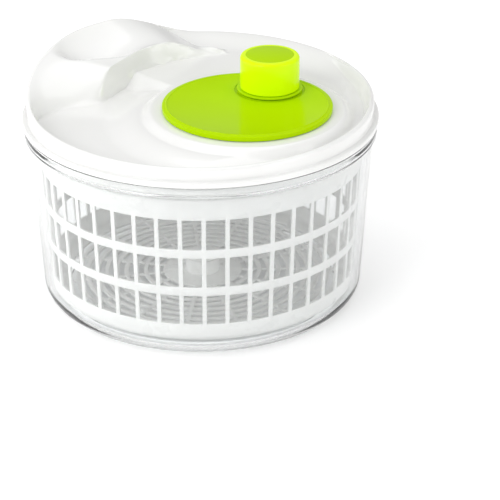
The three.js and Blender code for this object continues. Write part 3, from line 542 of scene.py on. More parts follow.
def make_basket():
    slots = [SLOT_START + SLOT_PITCH * i + w for i in range(SLOT_RINGS) for w in (0, SLOT_WIDTH)]
    levels = [z for pair in WINDOW_ROWS for z in pair]
    corner = basket_radius(BASKET_Z + BASKET_CORNER)
    inner_corner = BASKET_CORNER - BASKET_WALL
    rim_z = BASKET_TOP - BASKET_RIM_HEIGHT
    outline = [(HUB_BORE, BASKET_Z)] + [(r, BASKET_Z) for r in slots] + [(FLOOR_EDGE, BASKET_Z)]
    outline += arc(corner - BASKET_CORNER, BASKET_Z + BASKET_CORNER, BASKET_CORNER, -90, 0, 8)
    first_level = len(outline)
    outline += [(basket_radius(z), z) for z in levels] + [(basket_radius(PLAIN_Z), PLAIN_Z)]
    outline += [(basket_radius(rim_z), rim_z), (basket_radius(rim_z) + BASKET_RIM_WIDTH, rim_z)]
    outline += [(basket_radius(rim_z) + BASKET_RIM_WIDTH, BASKET_TOP),
                (basket_radius(BASKET_TOP) - BASKET_WALL, BASKET_TOP)]
    outline += [(basket_radius(PLAIN_Z) - BASKET_WALL, PLAIN_Z)]
    first_inner = len(outline)
    outline += [(basket_radius(z) - BASKET_WALL, z) for z in reversed(levels)]
    outline += arc(corner - BASKET_CORNER, BASKET_Z + BASKET_FLOOR + inner_corner, inner_corner, 0, -90, 8)
    outline += [(FLOOR_EDGE, BASKET_Z + BASKET_FLOOR)]
    first_upper = len(outline)
    outline += [(r, BASKET_Z + BASKET_FLOOR) for r in reversed(slots)]
    outline += [(HUB_RADIUS, BASKET_Z + BASKET_FLOOR), (HUB_RADIUS, HUB_TOP), (HUB_BORE, HUB_TOP)]
    rows = []
    for radius, z in outline:
        angles = [math.radians(a) for a in basket_columns(radius)]
        rows.append([(radius * math.cos(a), radius * math.sin(a), z) for a in angles])
    holes = []
    for level in range(len(WINDOW_ROWS)):
        low = first_level + 2 * level
        far = first_inner + len(levels) - 2 - 2 * level
        holes += [(low, far, 5 * window + 1, 5 * window + 4) for window in range(SECTOR_WINDOWS)]
    for ring in range(SLOT_RINGS):
        low = 1 + 2 * ring
        far = first_upper + len(slots) - 2 - 2 * ring
        holes.append((low, far, 1, len(rows[0]) - 2))
    sector = grid_mesh("basket_sector", rows, closed_columns=False, holes=holes)
    body = repeated_mesh("basket_body", sector, BASKET_WHITE, SECTORS, edge=0.35)
    outer = basket_radius(BASKET_TOP - RIB_HEIGHT) - BASKET_WALL / 2
    low = BASKET_TOP - RIB_HEIGHT
    pair = joined_mesh("rib_pair", [
        box_mesh("rib", (RIB_INNER, side, low), (outer, side + RIB_WIDTH, BASKET_TOP))
        for side in (-RIB_HALF_GAP - RIB_WIDTH, RIB_HALF_GAP)])
    ribs = repeated_mesh("basket_ribs", pair, BASKET_WHITE, RIB_PAIRS, edge=0.4)
    fit(finish_mesh("basket_moulding", joined_mesh("basket_moulding", [body, ribs]), BASKET_WHITE),
        "basket", "basket_white", "basket")
    low = HUB_TOP + 0.3
    cap = [(0, low), (HUB_RADIUS - 0.3, low), (HUB_RADIUS, low + 0.3), (HUB_RADIUS, low + 0.9)]
    cap += arc(HUB_RADIUS - 0.9, low + 0.9, 0.9, 15, 90, 5) + [(0, low + 1.8)]
    fit(turned_piece("hub_cap_moulded", cap, 72, BASKET_WHITE), "basket", "basket_white", "hub_cap")


BEARING_BORE = 3.35
BEARING_RADIUS = 6.15
BEARING_FLANGE = 9.0
BEARING_Z = 7.7
BEARING_FLANGE_TOP = 9.3
BEARING_TOP = 21.8


def make_bearing():
    inside = PIN_HIGH + 0.3
    outline = [(BEARING_BORE, BEARING_Z + 0.3), (BEARING_BORE + 0.3, BEARING_Z),
               (BEARING_FLANGE - 0.3, BEARING_Z)]
    outline += arc(BEARING_FLANGE - 0.4, BEARING_FLANGE_TOP - 0.4, 0.4, 0, 90, 3)
    outline += [(BEARING_RADIUS + 0.3, BEARING_FLANGE_TOP), (BEARING_RADIUS, BEARING_FLANGE_TOP + 0.3)]
    outline += arc(BEARING_RADIUS - 0.8, BEARING_TOP - 0.8, 0.8, 0, 90, 4)
    outline += [(0, BEARING_TOP), (0, inside), (BEARING_BORE - 1, inside), (BEARING_BORE, inside - 1)]
    bearing = turned_piece("basket_bearing_bush", outline, 48, ACETAL)
    fit(bearing, "basket_bearing", "acetal", "basket_bearing")


# ---------------------------------------------------------------- lid
LID_WALL = 2.0
LID_COLUMNS = 480
LID_ROWS = 92
SKIRT_HEIGHT = 3.6
PLUG_DEPTH = 6.0
SIDE_RADIUS = BAND_RADIUS - BOWL_WALL - 0.4
RIM_WIDTH = 7.1
RIM_FOOT = SIDE_RADIUS - RIM_WIDTH
DISH_Z = LID_Z + 6.5
DISH_RISE = 4.5                 # the dish climbs towards the crank seat
RIM_CREST = LID_Z + 15.4
RIM_TILT = 3.1
SPOUT_RISE = 17.2
SHELF_FOOT = 103.0              # about the crank's axis
SHELF_RUN = 4.5
SHELF_Z = DISH_Z + 19.0
SHELF_BACK_Z = SHELF_Z + 3.0
SCOOP_DEPTH = 13.0
TURRET_Z = DISH_Z + 8.2
OPENING = DISC_RADIUS - 2
TURRET_RADIUS = OPENING + 9.0
TURRET_SLOPE = 8.0
CRANK_OFFSET = CRANK.length
RIM_ROUND = 2.2
CREST_RADIUS = SIDE_RADIUS - RIM_ROUND
CREST_SWING = 33.0              # how far in the scoop's crest starts
LIP_CLIMB = 20.0                # height that the crest gains along the scoop
VALLEY_RUN = 11.0               # from the crest down to the floor behind it
SHOULDER_RUN = 18.0             # how much wider the wall becomes beside the dome
DOME_EDGE = 160.5               # where the dome's edge reaches furthest round, in degrees
DOME_EDGE_WIDTH = 9.0
DOME_EDGE_RADIUS = 100.0
DOME_EDGE_INNER = (30, 17)      # inwards over 30 mm the edge bends back by 17 degrees
DOME_EDGE_OUTER = (17.5, 3)     # and outwards over 17.5 mm by 3 degrees
DISH_EDGE = (98, 110)           # the dish ends between these distances from the axis
BANK_START = 86.0
BANK_BEND = 1.3
DOME_BEND = 1.4
SCOOP_BEND = 0.85
SEAT_STEP = 0.2                 # the floor at the back lies this far below the seat
VALLEY_DROP = 2.0

# Sweeps of the lid's sculpted side, in degrees about its axis, anticlockwise from +X.
SPOUT_RAMP = (92, 126)          # the rim climbs to the lip
SPOUT_FALL = (136, 205)         # and comes down again
SHELF_RAMP = (76, 86)
SHELF_FALL = (198, 234)
WALL_RAMP = (80, 113)
WALL_BACK = (125, 150)
DOME_FALL = (157, 184)
CREST_RAMP = (90, 111)
LIP_RAMP = (86, 118)
SCOOP_RAMP = (108, 148)
VALLEY_RAMP = (104, 112)
SHOULDER_RAMP = (168, 188)
SHOULDER_FALL = (197, 214)
FOOT_RAMP = (174, 214)
FLOOR_RAMP = (-5, 62)           # the floor behind the crank is level with its seat
FLOOR_FALL = (136, 149)
BANK_RAMP = (22, 44)            # the rim's inner side leans inward at the back
BANK_FALL = (98, 110)
RIM_FALL = (196, 232)           # past the dome the rim stands clear of the dish again


def smooth(low, high, value):
    share = np.clip((value - low) / (high - low), 0, 1)
    return share * share * (3 - 2 * share)


def rim_height(azimuth):
    spout = smooth(*SPOUT_RAMP, azimuth) * (1 - smooth(*SPOUT_FALL, azimuth))
    return RIM_CREST + RIM_TILT * np.sin(np.radians(azimuth)) + SPOUT_RISE * spout


def to_crank_circle(azimuth, radius):
    """Distance from the lid's axis, along a ray, to a circle about the crank's axis."""
    turn = np.radians(azimuth) - math.atan2(CRANK.y, CRANK.x)
    along = CRANK_OFFSET * np.cos(turn)
    return along + np.sqrt(radius ** 2 - CRANK_OFFSET ** 2 + along ** 2)


def floor_height(radius, azimuth, from_crank):
    """The dish round the crank seat: low in front and at the left, level with the seat at the back."""
    slope_foot = TURRET_RADIUS + TURRET_SLOPE
    outward = np.maximum(smooth(slope_foot, DISH_EDGE[0], from_crank), smooth(*DISH_EDGE, radius))
    dish = DISH_Z + DISH_RISE * (1 - outward)
    back = smooth(*FLOOR_RAMP, azimuth) * (1 - smooth(*FLOOR_FALL, azimuth))
    level = dish + (TURRET_Z - SEAT_STEP - dish) * back
    seat = 1 - smooth(TURRET_RADIUS, slope_foot, from_crank)
    return level + (TURRET_Z - level) * seat


def shelf_start(azimuth):
    """Foot radius and run of the shelf's wall. Past the dome the wall widens and meets the rim."""
    leave = smooth(*FOOT_RAMP, azimuth)
    foot = to_crank_circle(azimuth, SHELF_FOOT) * (1 - leave) + RIM_FOOT * leave
    run = SHELF_RUN + SHOULDER_RUN * smooth(*SHOULDER_RAMP, azimuth) * (1 - smooth(*SHOULDER_FALL, azimuth))
    return foot, run


def shelf_height(radius, azimuth):
    """The shelf behind the dish: a dome at the left and a scoop that runs up to the pouring lip."""
    foot, run = shelf_start(azimuth)
    start = foot + run
    rim = rim_height(azimuth)
    falling = (SHELF_Z - DISH_Z) * (1 - smooth(*DOME_FALL, azimuth)) + DISH_Z
    rising = SHELF_Z + (SHELF_BACK_Z - SHELF_Z) * (1 - smooth(*WALL_BACK, azimuth))
    rising = TURRET_Z + (rising - TURRET_Z) * smooth(*WALL_RAMP, azimuth)
    wall_top = np.where(azimuth > WALL_BACK[1], falling, rising)
    across = np.clip((radius - start) / np.maximum(CREST_RADIUS - start, 1), 0, 1)
    dome = wall_top + (rim - wall_top) * (1 - (1 - across) ** DOME_BEND)
    crest_radius = CREST_RADIUS - CREST_SWING * (1 - smooth(*CREST_RAMP, azimuth))
    crest = np.minimum(rim, RIM_CREST + RIM_TILT + LIP_CLIMB * smooth(*LIP_RAMP, azimuth))
    share = np.clip((radius - start) / (crest_radius - start), 0, 1)
    dip = SCOOP_DEPTH * smooth(*SCOOP_RAMP, azimuth) * np.sin(np.pi * share ** SCOOP_BEND)
    behind = (crest - TURRET_Z + VALLEY_DROP) * smooth(crest_radius, crest_radius + VALLEY_RUN, radius)
    scoop = wall_top + (crest - wall_top) * share - dip - behind * (1 - smooth(*VALLEY_RAMP, azimuth))
    past = radius - DOME_EDGE_RADIUS
    bend = np.where(past < 0, (past / DOME_EDGE_INNER[0]) ** 2 * DOME_EDGE_INNER[1],
                    (past / DOME_EDGE_OUTER[0]) ** 2 * DOME_EDGE_OUTER[1])
    edge = DOME_EDGE - bend
    beside = smooth(edge - DOME_EDGE_WIDTH, edge, azimuth)
    return scoop * (1 - beside) + dome * beside


def lid_height(x, y):
    radius = np.hypot(x, y)
    azimuth = np.degrees(np.arctan2(y, x)) % 360
    from_crank = np.hypot(x - CRANK.x, y - CRANK.y)
    floor = floor_height(radius, (azimuth + 90) % 360 - 90, from_crank)
    foot, run = shelf_start(azimuth)
    climb = smooth(foot, foot + run, radius)
    here = smooth(*SHELF_RAMP, azimuth) * (1 - smooth(*SHELF_FALL, azimuth))
    rise = np.maximum(shelf_height(radius, azimuth) - floor, 0)
    lean = smooth(*BANK_RAMP, azimuth) * (1 - smooth(*BANK_FALL, azimuth))
    bank = lean * smooth(BANK_START, CREST_RADIUS, radius) ** BANK_BEND
    surface = floor + rise * climb * here
    return np.maximum(surface, floor + (rim_height(azimuth) - floor) * bank)


def lid_row(radius, z, centre=(0.0, 0.0)):
    """One closed row of the lid's grid. z is a number or one height per column."""
    turn = 2 * np.pi * np.arange(LID_COLUMNS) / LID_COLUMNS
    x = centre[0] + radius * np.cos(turn)
    y = centre[1] + radius * np.sin(turn)
    return np.column_stack([x, y, np.broadcast_to(z, x.shape)])


def nested_row(share, drop):
    """A circle between the crank's opening and the rim's foot, laid on the lid's surface less drop."""
    start = OPENING + 0.8
    centre = (CRANK.x * (1 - share), CRANK.y * (1 - share))
    row = lid_row(start + (RIM_FOOT - start) * share, 0.0, centre)
    row[:, 2] = lid_height(row[:, 0], row[:, 1]) - drop
    return row


def lid_rows():
    azimuth = 360 * np.arange(LID_COLUMNS) / LID_COLUMNS
    crest = rim_height(azimuth)
    ledge = LID_Z + SKIRT_HEIGHT
    plug = LID_Z - PLUG_DEPTH
    rows = [lid_row(SIDE_RADIUS - LID_WALL, plug + 0.4), lid_row(SIDE_RADIUS - LID_WALL + 0.4, plug)]
    rows += [lid_row(SIDE_RADIUS - 0.5, plug), lid_row(SIDE_RADIUS - 0.1, plug + 0.5),
             lid_row(SIDE_RADIUS, plug + 1)]
    rows += [lid_row(SIDE_RADIUS, LID_Z), lid_row(SKIRT_RADIUS - 0.4, LID_Z),
             lid_row(SKIRT_RADIUS, LID_Z + 0.4)]
    rows += [lid_row(r, z) for r, z in arc(SKIRT_RADIUS - 1, ledge - 1, 1.0, 0, 78, 6)]
    rows += [lid_row(SIDE_RADIUS + 0.9, ledge + 0.12), lid_row(SIDE_RADIUS + 0.35, ledge + 0.3)]
    rows += [lid_row(SIDE_RADIUS + 0.08, ledge + 0.9)]
    wall = crest - RIM_ROUND - ledge
    rows += [lid_row(SIDE_RADIUS, ledge + wall * share) for share in (0.3, 0.65, 1.0)]
    rows += [lid_row(CREST_RADIUS + out, crest - RIM_ROUND + up)
             for out, up in arc(0, 0, RIM_ROUND, 15, 90, 7)]
    foot = nested_row(1.0, 0)[:, 2]
    foot = np.maximum(np.minimum(foot, crest - 1), DISH_Z)
    reach = CREST_RADIUS - RIM_FOOT
    plain = 1 - smooth(*BANK_RAMP, azimuth) * (1 - smooth(*RIM_FALL, azimuth))
    for share in np.linspace(0.93, 0.0, 15):
        row = lid_row(RIM_FOOT + reach * share, foot + (crest - foot) * smooth(-0.06, 0.93, share))
        open_z = np.minimum(lid_height(row[:, 0], row[:, 1]), crest)
        row[:, 2] = open_z + (row[:, 2] - open_z) * plain
        rows.append(row)
    rows += [nested_row(share, 0) for share in np.linspace(1, 0, LID_ROWS)[1:]]
    crank = (CRANK.x, CRANK.y)
    rows += [lid_row(r, z, crank) for r, z in arc(OPENING + 0.8, TURRET_Z - 0.8, 0.8, 110, 180, 4)]
    rows += [lid_row(OPENING, TURRET_Z - LID_WALL, crank)]
    rows += [nested_row(share, LID_WALL) for share in np.linspace(0, 1, LID_ROWS // 3)]
    rows += [lid_row(RIM_FOOT + 1.4, foot - LID_WALL + (crest - foot) * 0.2)]
    rows += [lid_row(SIDE_RADIUS - LID_WALL - 1.2, crest - 3.6),
             lid_row(SIDE_RADIUS - LID_WALL, crest - 5.4)]
    return rows


HOUSING_Z = HOUSING_LOW.z
HOUSING_INNER = OPENING - 0.3
HOUSING_WALL = 2.0
HOUSING_FLOOR = 2.0
EAR_RADIUS = 4.4
EAR_REACH = HOUSING_INNER + HOUSING_WALL + 4.2
EAR_COUNT = 4
EAR_FIRST = math.atan2(CRANK.y, CRANK.x) + math.pi / 4
SCREW_RADIUS = 1.5
SCREW_HEAD = 2.8
SCREW_HEAD_HEIGHT = 1.8
SCREW_POST_WALL = 2
PIN_GAP = 0.3
SLOT_FROM = 149.0
SLOT_TO = 157.0
SLOT_OUTER = RIM_FOOT - 9
SLOT_LENGTH = 18.0
SLOT_CORNER = 0.42              # power that rounds the slot's corners: 1 is an ellipse, 0 a box
SLOT_POINTS = 48
HOLE_SEGMENTS = 64


def pour_slot_cutter():
    """A rounded slot, as wide as its sweep, that goes right through the lid."""
    inner, outer = SLOT_OUTER - SLOT_LENGTH, SLOT_OUTER
    middle = math.radians((SLOT_FROM + SLOT_TO) / 2)
    half = math.radians((SLOT_TO - SLOT_FROM) / 2)
    places = []
    for step in range(SLOT_POINTS):
        turn = 2 * math.pi * (step + 0.5) / SLOT_POINTS
        u = math.copysign(abs(math.cos(turn)) ** SLOT_CORNER, math.cos(turn))
        v = math.copysign(abs(math.sin(turn)) ** SLOT_CORNER, math.sin(turn))
        radius = (inner + outer) / 2 + (outer - inner) / 2 * u
        angle = middle + half * v
        places.append((radius * math.cos(angle), radius * math.sin(angle)))
    rows = [[(x, y, z) for x, y in places] for z in (LID_Z - 4, TURRET_Z + 40)]
    mesh = grid_mesh("pour_slot", rows, closed_rows=False)
    bm = bmesh.new()
    bm.from_mesh(mesh)
    bmesh.ops.holes_fill(bm, edges=bm.edges)
    bmesh.ops.recalc_face_normals(bm, faces=bm.faces)
    bm.to_mesh(mesh)
    bm.free()
    return mesh


def cut(mesh, tool_mesh, name):
    """The mesh less a closed tool."""
    body = bpy.data.objects.new(name + "_pattern", mesh)
    tool = bpy.data.objects.new(name + "_tool", tool_mesh)
    for item in (body, tool):
        bpy.context.scene.collection.objects.link(item)
    boolean = body.modifiers.new("cut", "BOOLEAN")
    boolean.operation = "DIFFERENCE"
    boolean.solver = "EXACT"
    boolean.object = tool
    result = baked(body, name)
    bpy.data.objects.remove(tool)
    bpy.data.meshes.remove(tool_mesh)
    return result


def drill(name, radius, low, high, segments=HOLE_SEGMENTS, centre=ORIGIN):
    """A closed round tool that cuts a hole between two heights."""
    return turned_mesh(name, [(0, low), (radius, low), (radius, high), (0, high)], segments, centre)


def make_lid():
    shell = grid_mesh("lid_grid", lid_rows())
    body = cut(shell, pour_slot_cutter(), "lid_body")
    bore = SCREW_RADIUS + PIN_GAP
    outer = SCREW_RADIUS + SCREW_POST_WALL
    foot = HOUSING_Z + HOUSING_FLOOR + PIN_GAP
    head = TURRET_Z - LID_WALL / 2
    post = turned_mesh("screw_post", [(bore, foot), (outer, foot), (outer, head), (bore, head)], 28)
    posts = repeated_mesh("screw_posts", post, LID_WHITE, EAR_COUNT, EAR_REACH, EAR_FIRST, CRANK)
    lid = finish_mesh("lid_moulding", joined_mesh("lid_moulding", [body, posts]), LID_WHITE)
    fit(lid, "lid", "lid_white", "lid_shell")


# ---------------------------------------------------------------- gear housing under the lid
BUSH_RADIUS = 5.75
BUSH_FLANGE = 2.0
BUSH_FLANGE_HEIGHT = 1.2


def make_housing():
    outer = HOUSING_INNER + HOUSING_WALL
    floor_top = HOUSING_Z + HOUSING_FLOOR
    rim = HOUSING_HIGH.z
    bore = BUSH_RADIUS + PIN_GAP
    cup = [(bore, HOUSING_Z), (outer - 0.6, HOUSING_Z)]
    cup += arc(outer - 0.6, HOUSING_Z + 0.6, 0.6, -90, 0, 3)
    cup += [(outer, rim - 0.3), (outer - 0.3, rim), (HOUSING_INNER + 0.3, rim), (HOUSING_INNER, rim - 0.3)]
    cup += [(HOUSING_INNER, floor_top + 0.5), (HOUSING_INNER - 0.5, floor_top), (bore, floor_top)]
    body = turned_mesh("housing_cup", cup, 144, CRANK)
    body = cut(body, drill("shaft_hole", bore, HOUSING_Z - 3, floor_top + 3), "housing_body")
    bore = SCREW_RADIUS + PIN_GAP
    ear = turned_mesh("ear", [
        (bore, HOUSING_Z), (EAR_RADIUS - 0.4, HOUSING_Z), (EAR_RADIUS, HOUSING_Z + 0.4),
        (EAR_RADIUS, floor_top - 0.4), (EAR_RADIUS - 0.4, floor_top), (bore, floor_top)], 32)
    ears = repeated_mesh("ears", ear, HOUSING_WHITE, EAR_COUNT, EAR_REACH, EAR_FIRST, CRANK)
    housing = finish_mesh("gear_housing_moulding", joined_mesh("housing", [body, ears]), HOUSING_WHITE)
    fit(housing, "lid", "housing_white", "gear_housing")


def screw_mesh(name, head_z, length, radius, head):
    """A pan-head screw with a cross recess, its head down, on the origin."""
    seat = head_z + SCREW_HEAD_HEIGHT
    outline = [(0, head_z), (head * 0.55, head_z)] + arc(head - 0.9, head_z + 0.9, 0.9, -60, 0, 4)
    outline += [(head, seat), (radius, seat), (radius, seat + length - 0.8),
                (radius - 0.6, seat + length), (0, seat + length)]
    body = turned_mesh(name, outline, 32)
    arm = head * 0.5
    for low, high in (((-arm, -0.35, head_z - 1), (arm, 0.35, head_z + 0.9)),
                      ((-0.35, -arm, head_z - 1), (0.35, arm, head_z + 0.9))):
        body = cut(body, box_mesh("recess", low, high), name)
    return body


def make_housing_screws():
    screw = screw_mesh("housing_screw", HOUSING_Z - 0.3 - SCREW_HEAD_HEIGHT, 7.0, SCREW_RADIUS, SCREW_HEAD)
    screws = repeated_mesh("housing_screws", screw, STEEL, EAR_COUNT, EAR_REACH, EAR_FIRST, CRANK)
    names = [f"housing_screw_{i + 1}" for i in range(EAR_COUNT)]
    fit(finish_mesh("housing_screws", screws, STEEL), "lid", "steel", *names)


def bush_outline(bore):
    seat = HOUSING_Z + HOUSING_FLOOR + 0.3
    top = seat + BUSH_FLANGE_HEIGHT
    flange = BUSH_RADIUS + BUSH_FLANGE
    outline = [(bore + 0.3, HOUSING_Z), (BUSH_RADIUS - 0.3, HOUSING_Z), (BUSH_RADIUS, HOUSING_Z + 0.3),
               (BUSH_RADIUS, seat)]
    outline += [(flange, seat), (flange, top - 0.3), (flange - 0.3, top), (bore + 0.3, top)]
    return outline + [(bore, top - 0.3), (bore, HOUSING_Z + 0.3)]


SHAFT_RADIUS = 3.0
BORE = 3.35
WASHER_HEIGHT = 0.8
WASHER_Z = 133.5


def washer_piece(name, outer, bore, low, body, node, centre=ORIGIN):
    high = low + WASHER_HEIGHT
    outline = [(bore, low + 0.12), (bore + 0.12, low), (outer - 0.2, low), (outer, low + 0.2)]
    outline += [(outer, high - 0.2), (outer - 0.2, high), (bore + 0.12, high), (bore, high - 0.12)]
    fit(turned_piece(name, outline, 48, STEEL, centre), body, "steel", node)


def make_bushes():
    flange = BUSH_RADIUS + BUSH_FLANGE
    fit(turned_piece("crank_bush_moulded", bush_outline(BORE), 48, ACETAL, CRANK), "lid", "acetal",
        "crank_bush")
    fit(turned_piece("shaft_bush_moulded", bush_outline(BORE), 48, ACETAL), "lid", "acetal", "shaft_bush")
    washer_piece("crank_washer_turned", flange, BORE, WASHER_Z, "crank", "crank_washer", CRANK)
    washer_piece("shaft_washer_turned", flange, BORE, WASHER_Z, "driver", "shaft_washer")


# ---------------------------------------------------------------- crank
DISC_TOP = DISC_HIGH.z
DISC_Z = TURRET_Z + 1.1
DISC_LIP = 0.5
DISC_LIP_WIDTH = 3.4
HUB_LOW = DISC_LOW.z
CRANK_HUB = 9.0
CRANK_SCREW = 3.0
CRANK_REACH = 20.0              # from the crank's axis to the screws that hold the ring gear
KNOB_AWAY = KNOB - CRANK
GEAR_TURN = math.atan2(KNOB_AWAY.y, KNOB_AWAY.x)
BOSS = 7.0
SOCKET = 4.3
SOCKET_LOW = DISC_TOP - 4.2
SKIRT_GAP = 0.3


def make_disc():
    """The lime disc: a raised lip, a shallow well round the knob and a hub below."""
    well = COLLAR_RADIUS + 1.9
    top = DISC_TOP - DISC_LIP
    lip = DISC_RADIUS - DISC_LIP_WIDTH
    skirt = OPENING + 0.8
    skirt_z = TURRET_Z + SKIRT_GAP
    band = DISC_TOP - 0.6
    outline = [(CRANK_SCREW + PIN_GAP, HUB_LOW + 0.3), (CRANK_SCREW + PIN_GAP + 0.3, HUB_LOW),
               (CRANK_HUB - 0.3, HUB_LOW)]
    outline += [(CRANK_HUB, HUB_LOW + 0.3), (CRANK_HUB, DISC_Z - 0.6), (CRANK_HUB + 0.6, DISC_Z),
                (skirt, DISC_Z), (skirt + 0.4, skirt_z)]
    outline += arc(DISC_RADIUS - 0.7, skirt_z + 0.7, 0.7, -90, 0, 5)
    outline += arc(DISC_RADIUS - 0.8, band - 0.8, 0.8, 0, 84, 7)
    outline += [(lip + 1.3, band + 0.1), (lip + 1.05, band + 0.2)]
    outline += arc(lip + 0.4, DISC_TOP - 0.5, 0.5, 40, 140, 7)
    outline += [(lip - 0.25, top + 0.1), (lip - 0.5, top)]
    outline += [(0, top), (0, DISC_Z), (CRANK_SCREW + PIN_GAP, DISC_Z)]
    disc = turned_mesh("disc_plate", outline, 200, CRANK)
    island = COLLAR_RADIUS - 0.6
    well_tool = turned_mesh("well", [(island, top - 0.5), (well - 0.5, top - 0.5), (well, top + 0.2),
                                     (well, top + 2), (island, top + 2)], 120, KNOB)
    disc = cut(disc, well_tool, "disc_plate")
    disc = cut(disc, drill("socket", SOCKET, SOCKET_LOW, DISC_TOP + 2, centre=KNOB), "disc_plate")
    foot = GEAR_HIGH.z - 2
    boss = turned_mesh("disc_boss", [(SOCKET, foot), (BOSS - 0.4, foot), (BOSS, GEAR_HIGH.z - 1.6),
                                     (BOSS, DISC_Z + 0.2), (SOCKET, DISC_Z + 0.2)], 64, KNOB)
    body = finish_mesh("crank_disc_moulding", joined_mesh("crank_disc", [disc, boss]), LIME)
    fit(body, "crank", "lime_green", "crank_disc")


AXLE_RADIUS = 4.0
AXLE_BORE = 4.35


def make_collar():
    low, high = COLLAR_LOW.z, COLLAR_HIGH.z
    outline = [(AXLE_BORE, low), (COLLAR_RADIUS - 0.3, low), (COLLAR_RADIUS, low + 0.3)]
    outline += arc(COLLAR_RADIUS - 0.6, high - 0.6, 0.6, 0, 90, 5) + [(AXLE_BORE, high)]
    fit(turned_piece("knob_collar_moulded", outline, 128, LIME, KNOB), "crank", "lime_green", "knob_collar")


KNOB_FILLET = 2.6
KNOB_WALL = 2.4
KNOB_TUBE = AXLE_BORE + 2.6
KNOB_WEB_TOP = KNOB_HIGH.z - 5.4
CAP_RADIUS = 16.2
CAP_SEAT = KNOB_HIGH.z - 1.6
CAP_LEDGE = 1.5


def make_knob():
    low, high = KNOB_LOW.z, KNOB_HIGH.z
    skin = KNOB_RADIUS - KNOB_WALL
    web = KNOB_WEB_TOP - KNOB_WALL
    outline = [(AXLE_BORE, low + 0.3), (AXLE_BORE + 0.3, low)]
    outline += [(KNOB_TUBE - 0.3, low), (KNOB_TUBE, low + 0.3)]
    outline += [(KNOB_TUBE, web - 1), (KNOB_TUBE + 1, web), (skin - 1, web), (skin, web - 1)]
    outline += [(skin, low + 0.3), (skin + 0.3, low)]
    outline += [(KNOB_RADIUS - 0.4, low), (KNOB_RADIUS, low + 0.4), (KNOB_RADIUS, low + 12)]
    outline += arc(KNOB_RADIUS - KNOB_FILLET, high - KNOB_FILLET, KNOB_FILLET, 0, 90, 10)
    outline += [(CAP_RADIUS + 0.22, high)] + arc(CAP_RADIUS + 0.22, high - 0.12, 0.12, 110, 180, 2)
    outline += [(CAP_RADIUS + 0.1, CAP_SEAT), (CAP_RADIUS - CAP_LEDGE, CAP_SEAT)]
    outline += [(CAP_RADIUS - CAP_LEDGE, KNOB_WEB_TOP), (AXLE_BORE, KNOB_WEB_TOP)]
    # The knob's wall takes the lighter lime, painted light on its sides; the cap keeps the disc's lime.
    fit(turned_piece("knob_moulding", outline, 128, LIME_PAINTED_LIT, KNOB), "knob", "lime_green", "knob")
    seat, top = CAP_LOW.z, CAP_HIGH.z
    cap = [(0, seat), (CAP_RADIUS, seat), (CAP_RADIUS, top - 0.12)]
    cap += arc(CAP_RADIUS - 0.12, top - 0.12, 0.12, 0, 90, 3)
    fit(turned_piece("knob_cap_moulded", cap + [(0, top)], 96, LIME, KNOB), "knob", "lime_green",
        "knob_cap")


def make_knob_fixings():
    low = SOCKET_LOW + 0.3
    top = KNOB_WEB_TOP + 0.3
    bore = SCREW_RADIUS + PIN_GAP
    axle = [(0, low), (AXLE_RADIUS - 0.3, low), (AXLE_RADIUS, low + 0.3), (AXLE_RADIUS, top - 0.3),
            (AXLE_RADIUS - 0.3, top)]
    axle += [(bore, top), (bore, top - 7), (0, top - 7)]
    fit(turned_piece("knob_axle_turned", axle, 40, STEEL, KNOB), "crank", "steel", "knob_axle")
    washer_piece("knob_washer_turned", AXLE_RADIUS + 3, SCREW_RADIUS + 0.35, top + 0.3, "crank",
                 "knob_washer", KNOB)
    head = top + 0.3 + WASHER_HEIGHT + 0.3
    screw = [(0, head - 6.7), (SCREW_RADIUS - 0.5, head - 6.7), (SCREW_RADIUS, head - 6.2),
             (SCREW_RADIUS, head)]
    screw += [(SCREW_HEAD, head)] + arc(SCREW_HEAD - 0.8, head + 1.0, 0.8, 0, 90, 3)
    screw += [(0, head + SCREW_HEAD_HEIGHT)]
    fit(turned_piece("knob_screw_turned", screw, 32, STEEL, KNOB), "crank", "steel", "knob_screw")


# ---------------------------------------------------------------- gears
RING_TEETH = 50
PINION_TEETH = 10
MODULE = 2 * CRANK_OFFSET / (RING_TEETH - PINION_TEETH)
BACKLASH = 0.34
FLANGE_BORE = 14.0
PRESSURE = math.radians(20)
MESH_AZIMUTH = math.atan2(CRANK.y, CRANK.x) + math.pi


def half_tooth(radius, pitch, thickness):
    """Half the angle of an involute tooth at a radius."""
    base = pitch * math.cos(PRESSURE)

    def involute(at):
        angle = math.acos(min(base / at, 1))
        return math.tan(angle) - angle

    return thickness / 2 / pitch + involute(pitch) - involute(max(radius, base))


def tooth_slice(name, teeth, radii, thickness, low, high, backing):
    """One pitch of a gear between two heights: involute flanks between radii, and a round backing."""
    pitch_angle = 2 * math.pi / teeth
    pitch = teeth * MODULE / 2
    steps = [radii[0] + (radii[1] - radii[0]) * i / 4 for i in range(5)]
    flank = [(r, half_tooth(r, pitch, thickness)) for r in steps]
    edge = [(steps[0], -pitch_angle / 2)] + [(r, -a) for r, a in flank] + [(steps[-1], 0.0)]
    edge += [(r, a) for r, a in reversed(flank)] + [(steps[0], pitch_angle / 2)]
    rows = []
    for z, inner in ((low, False), (high, False), (high, True), (low, True)):
        rows.append([((backing if inner else r) * math.cos(a), (backing if inner else r) * math.sin(a), z)
                     for r, a in edge])
    if backing > radii[0]:
        rows = rows[::-1]
    return grid_mesh(name, rows, closed_columns=False)


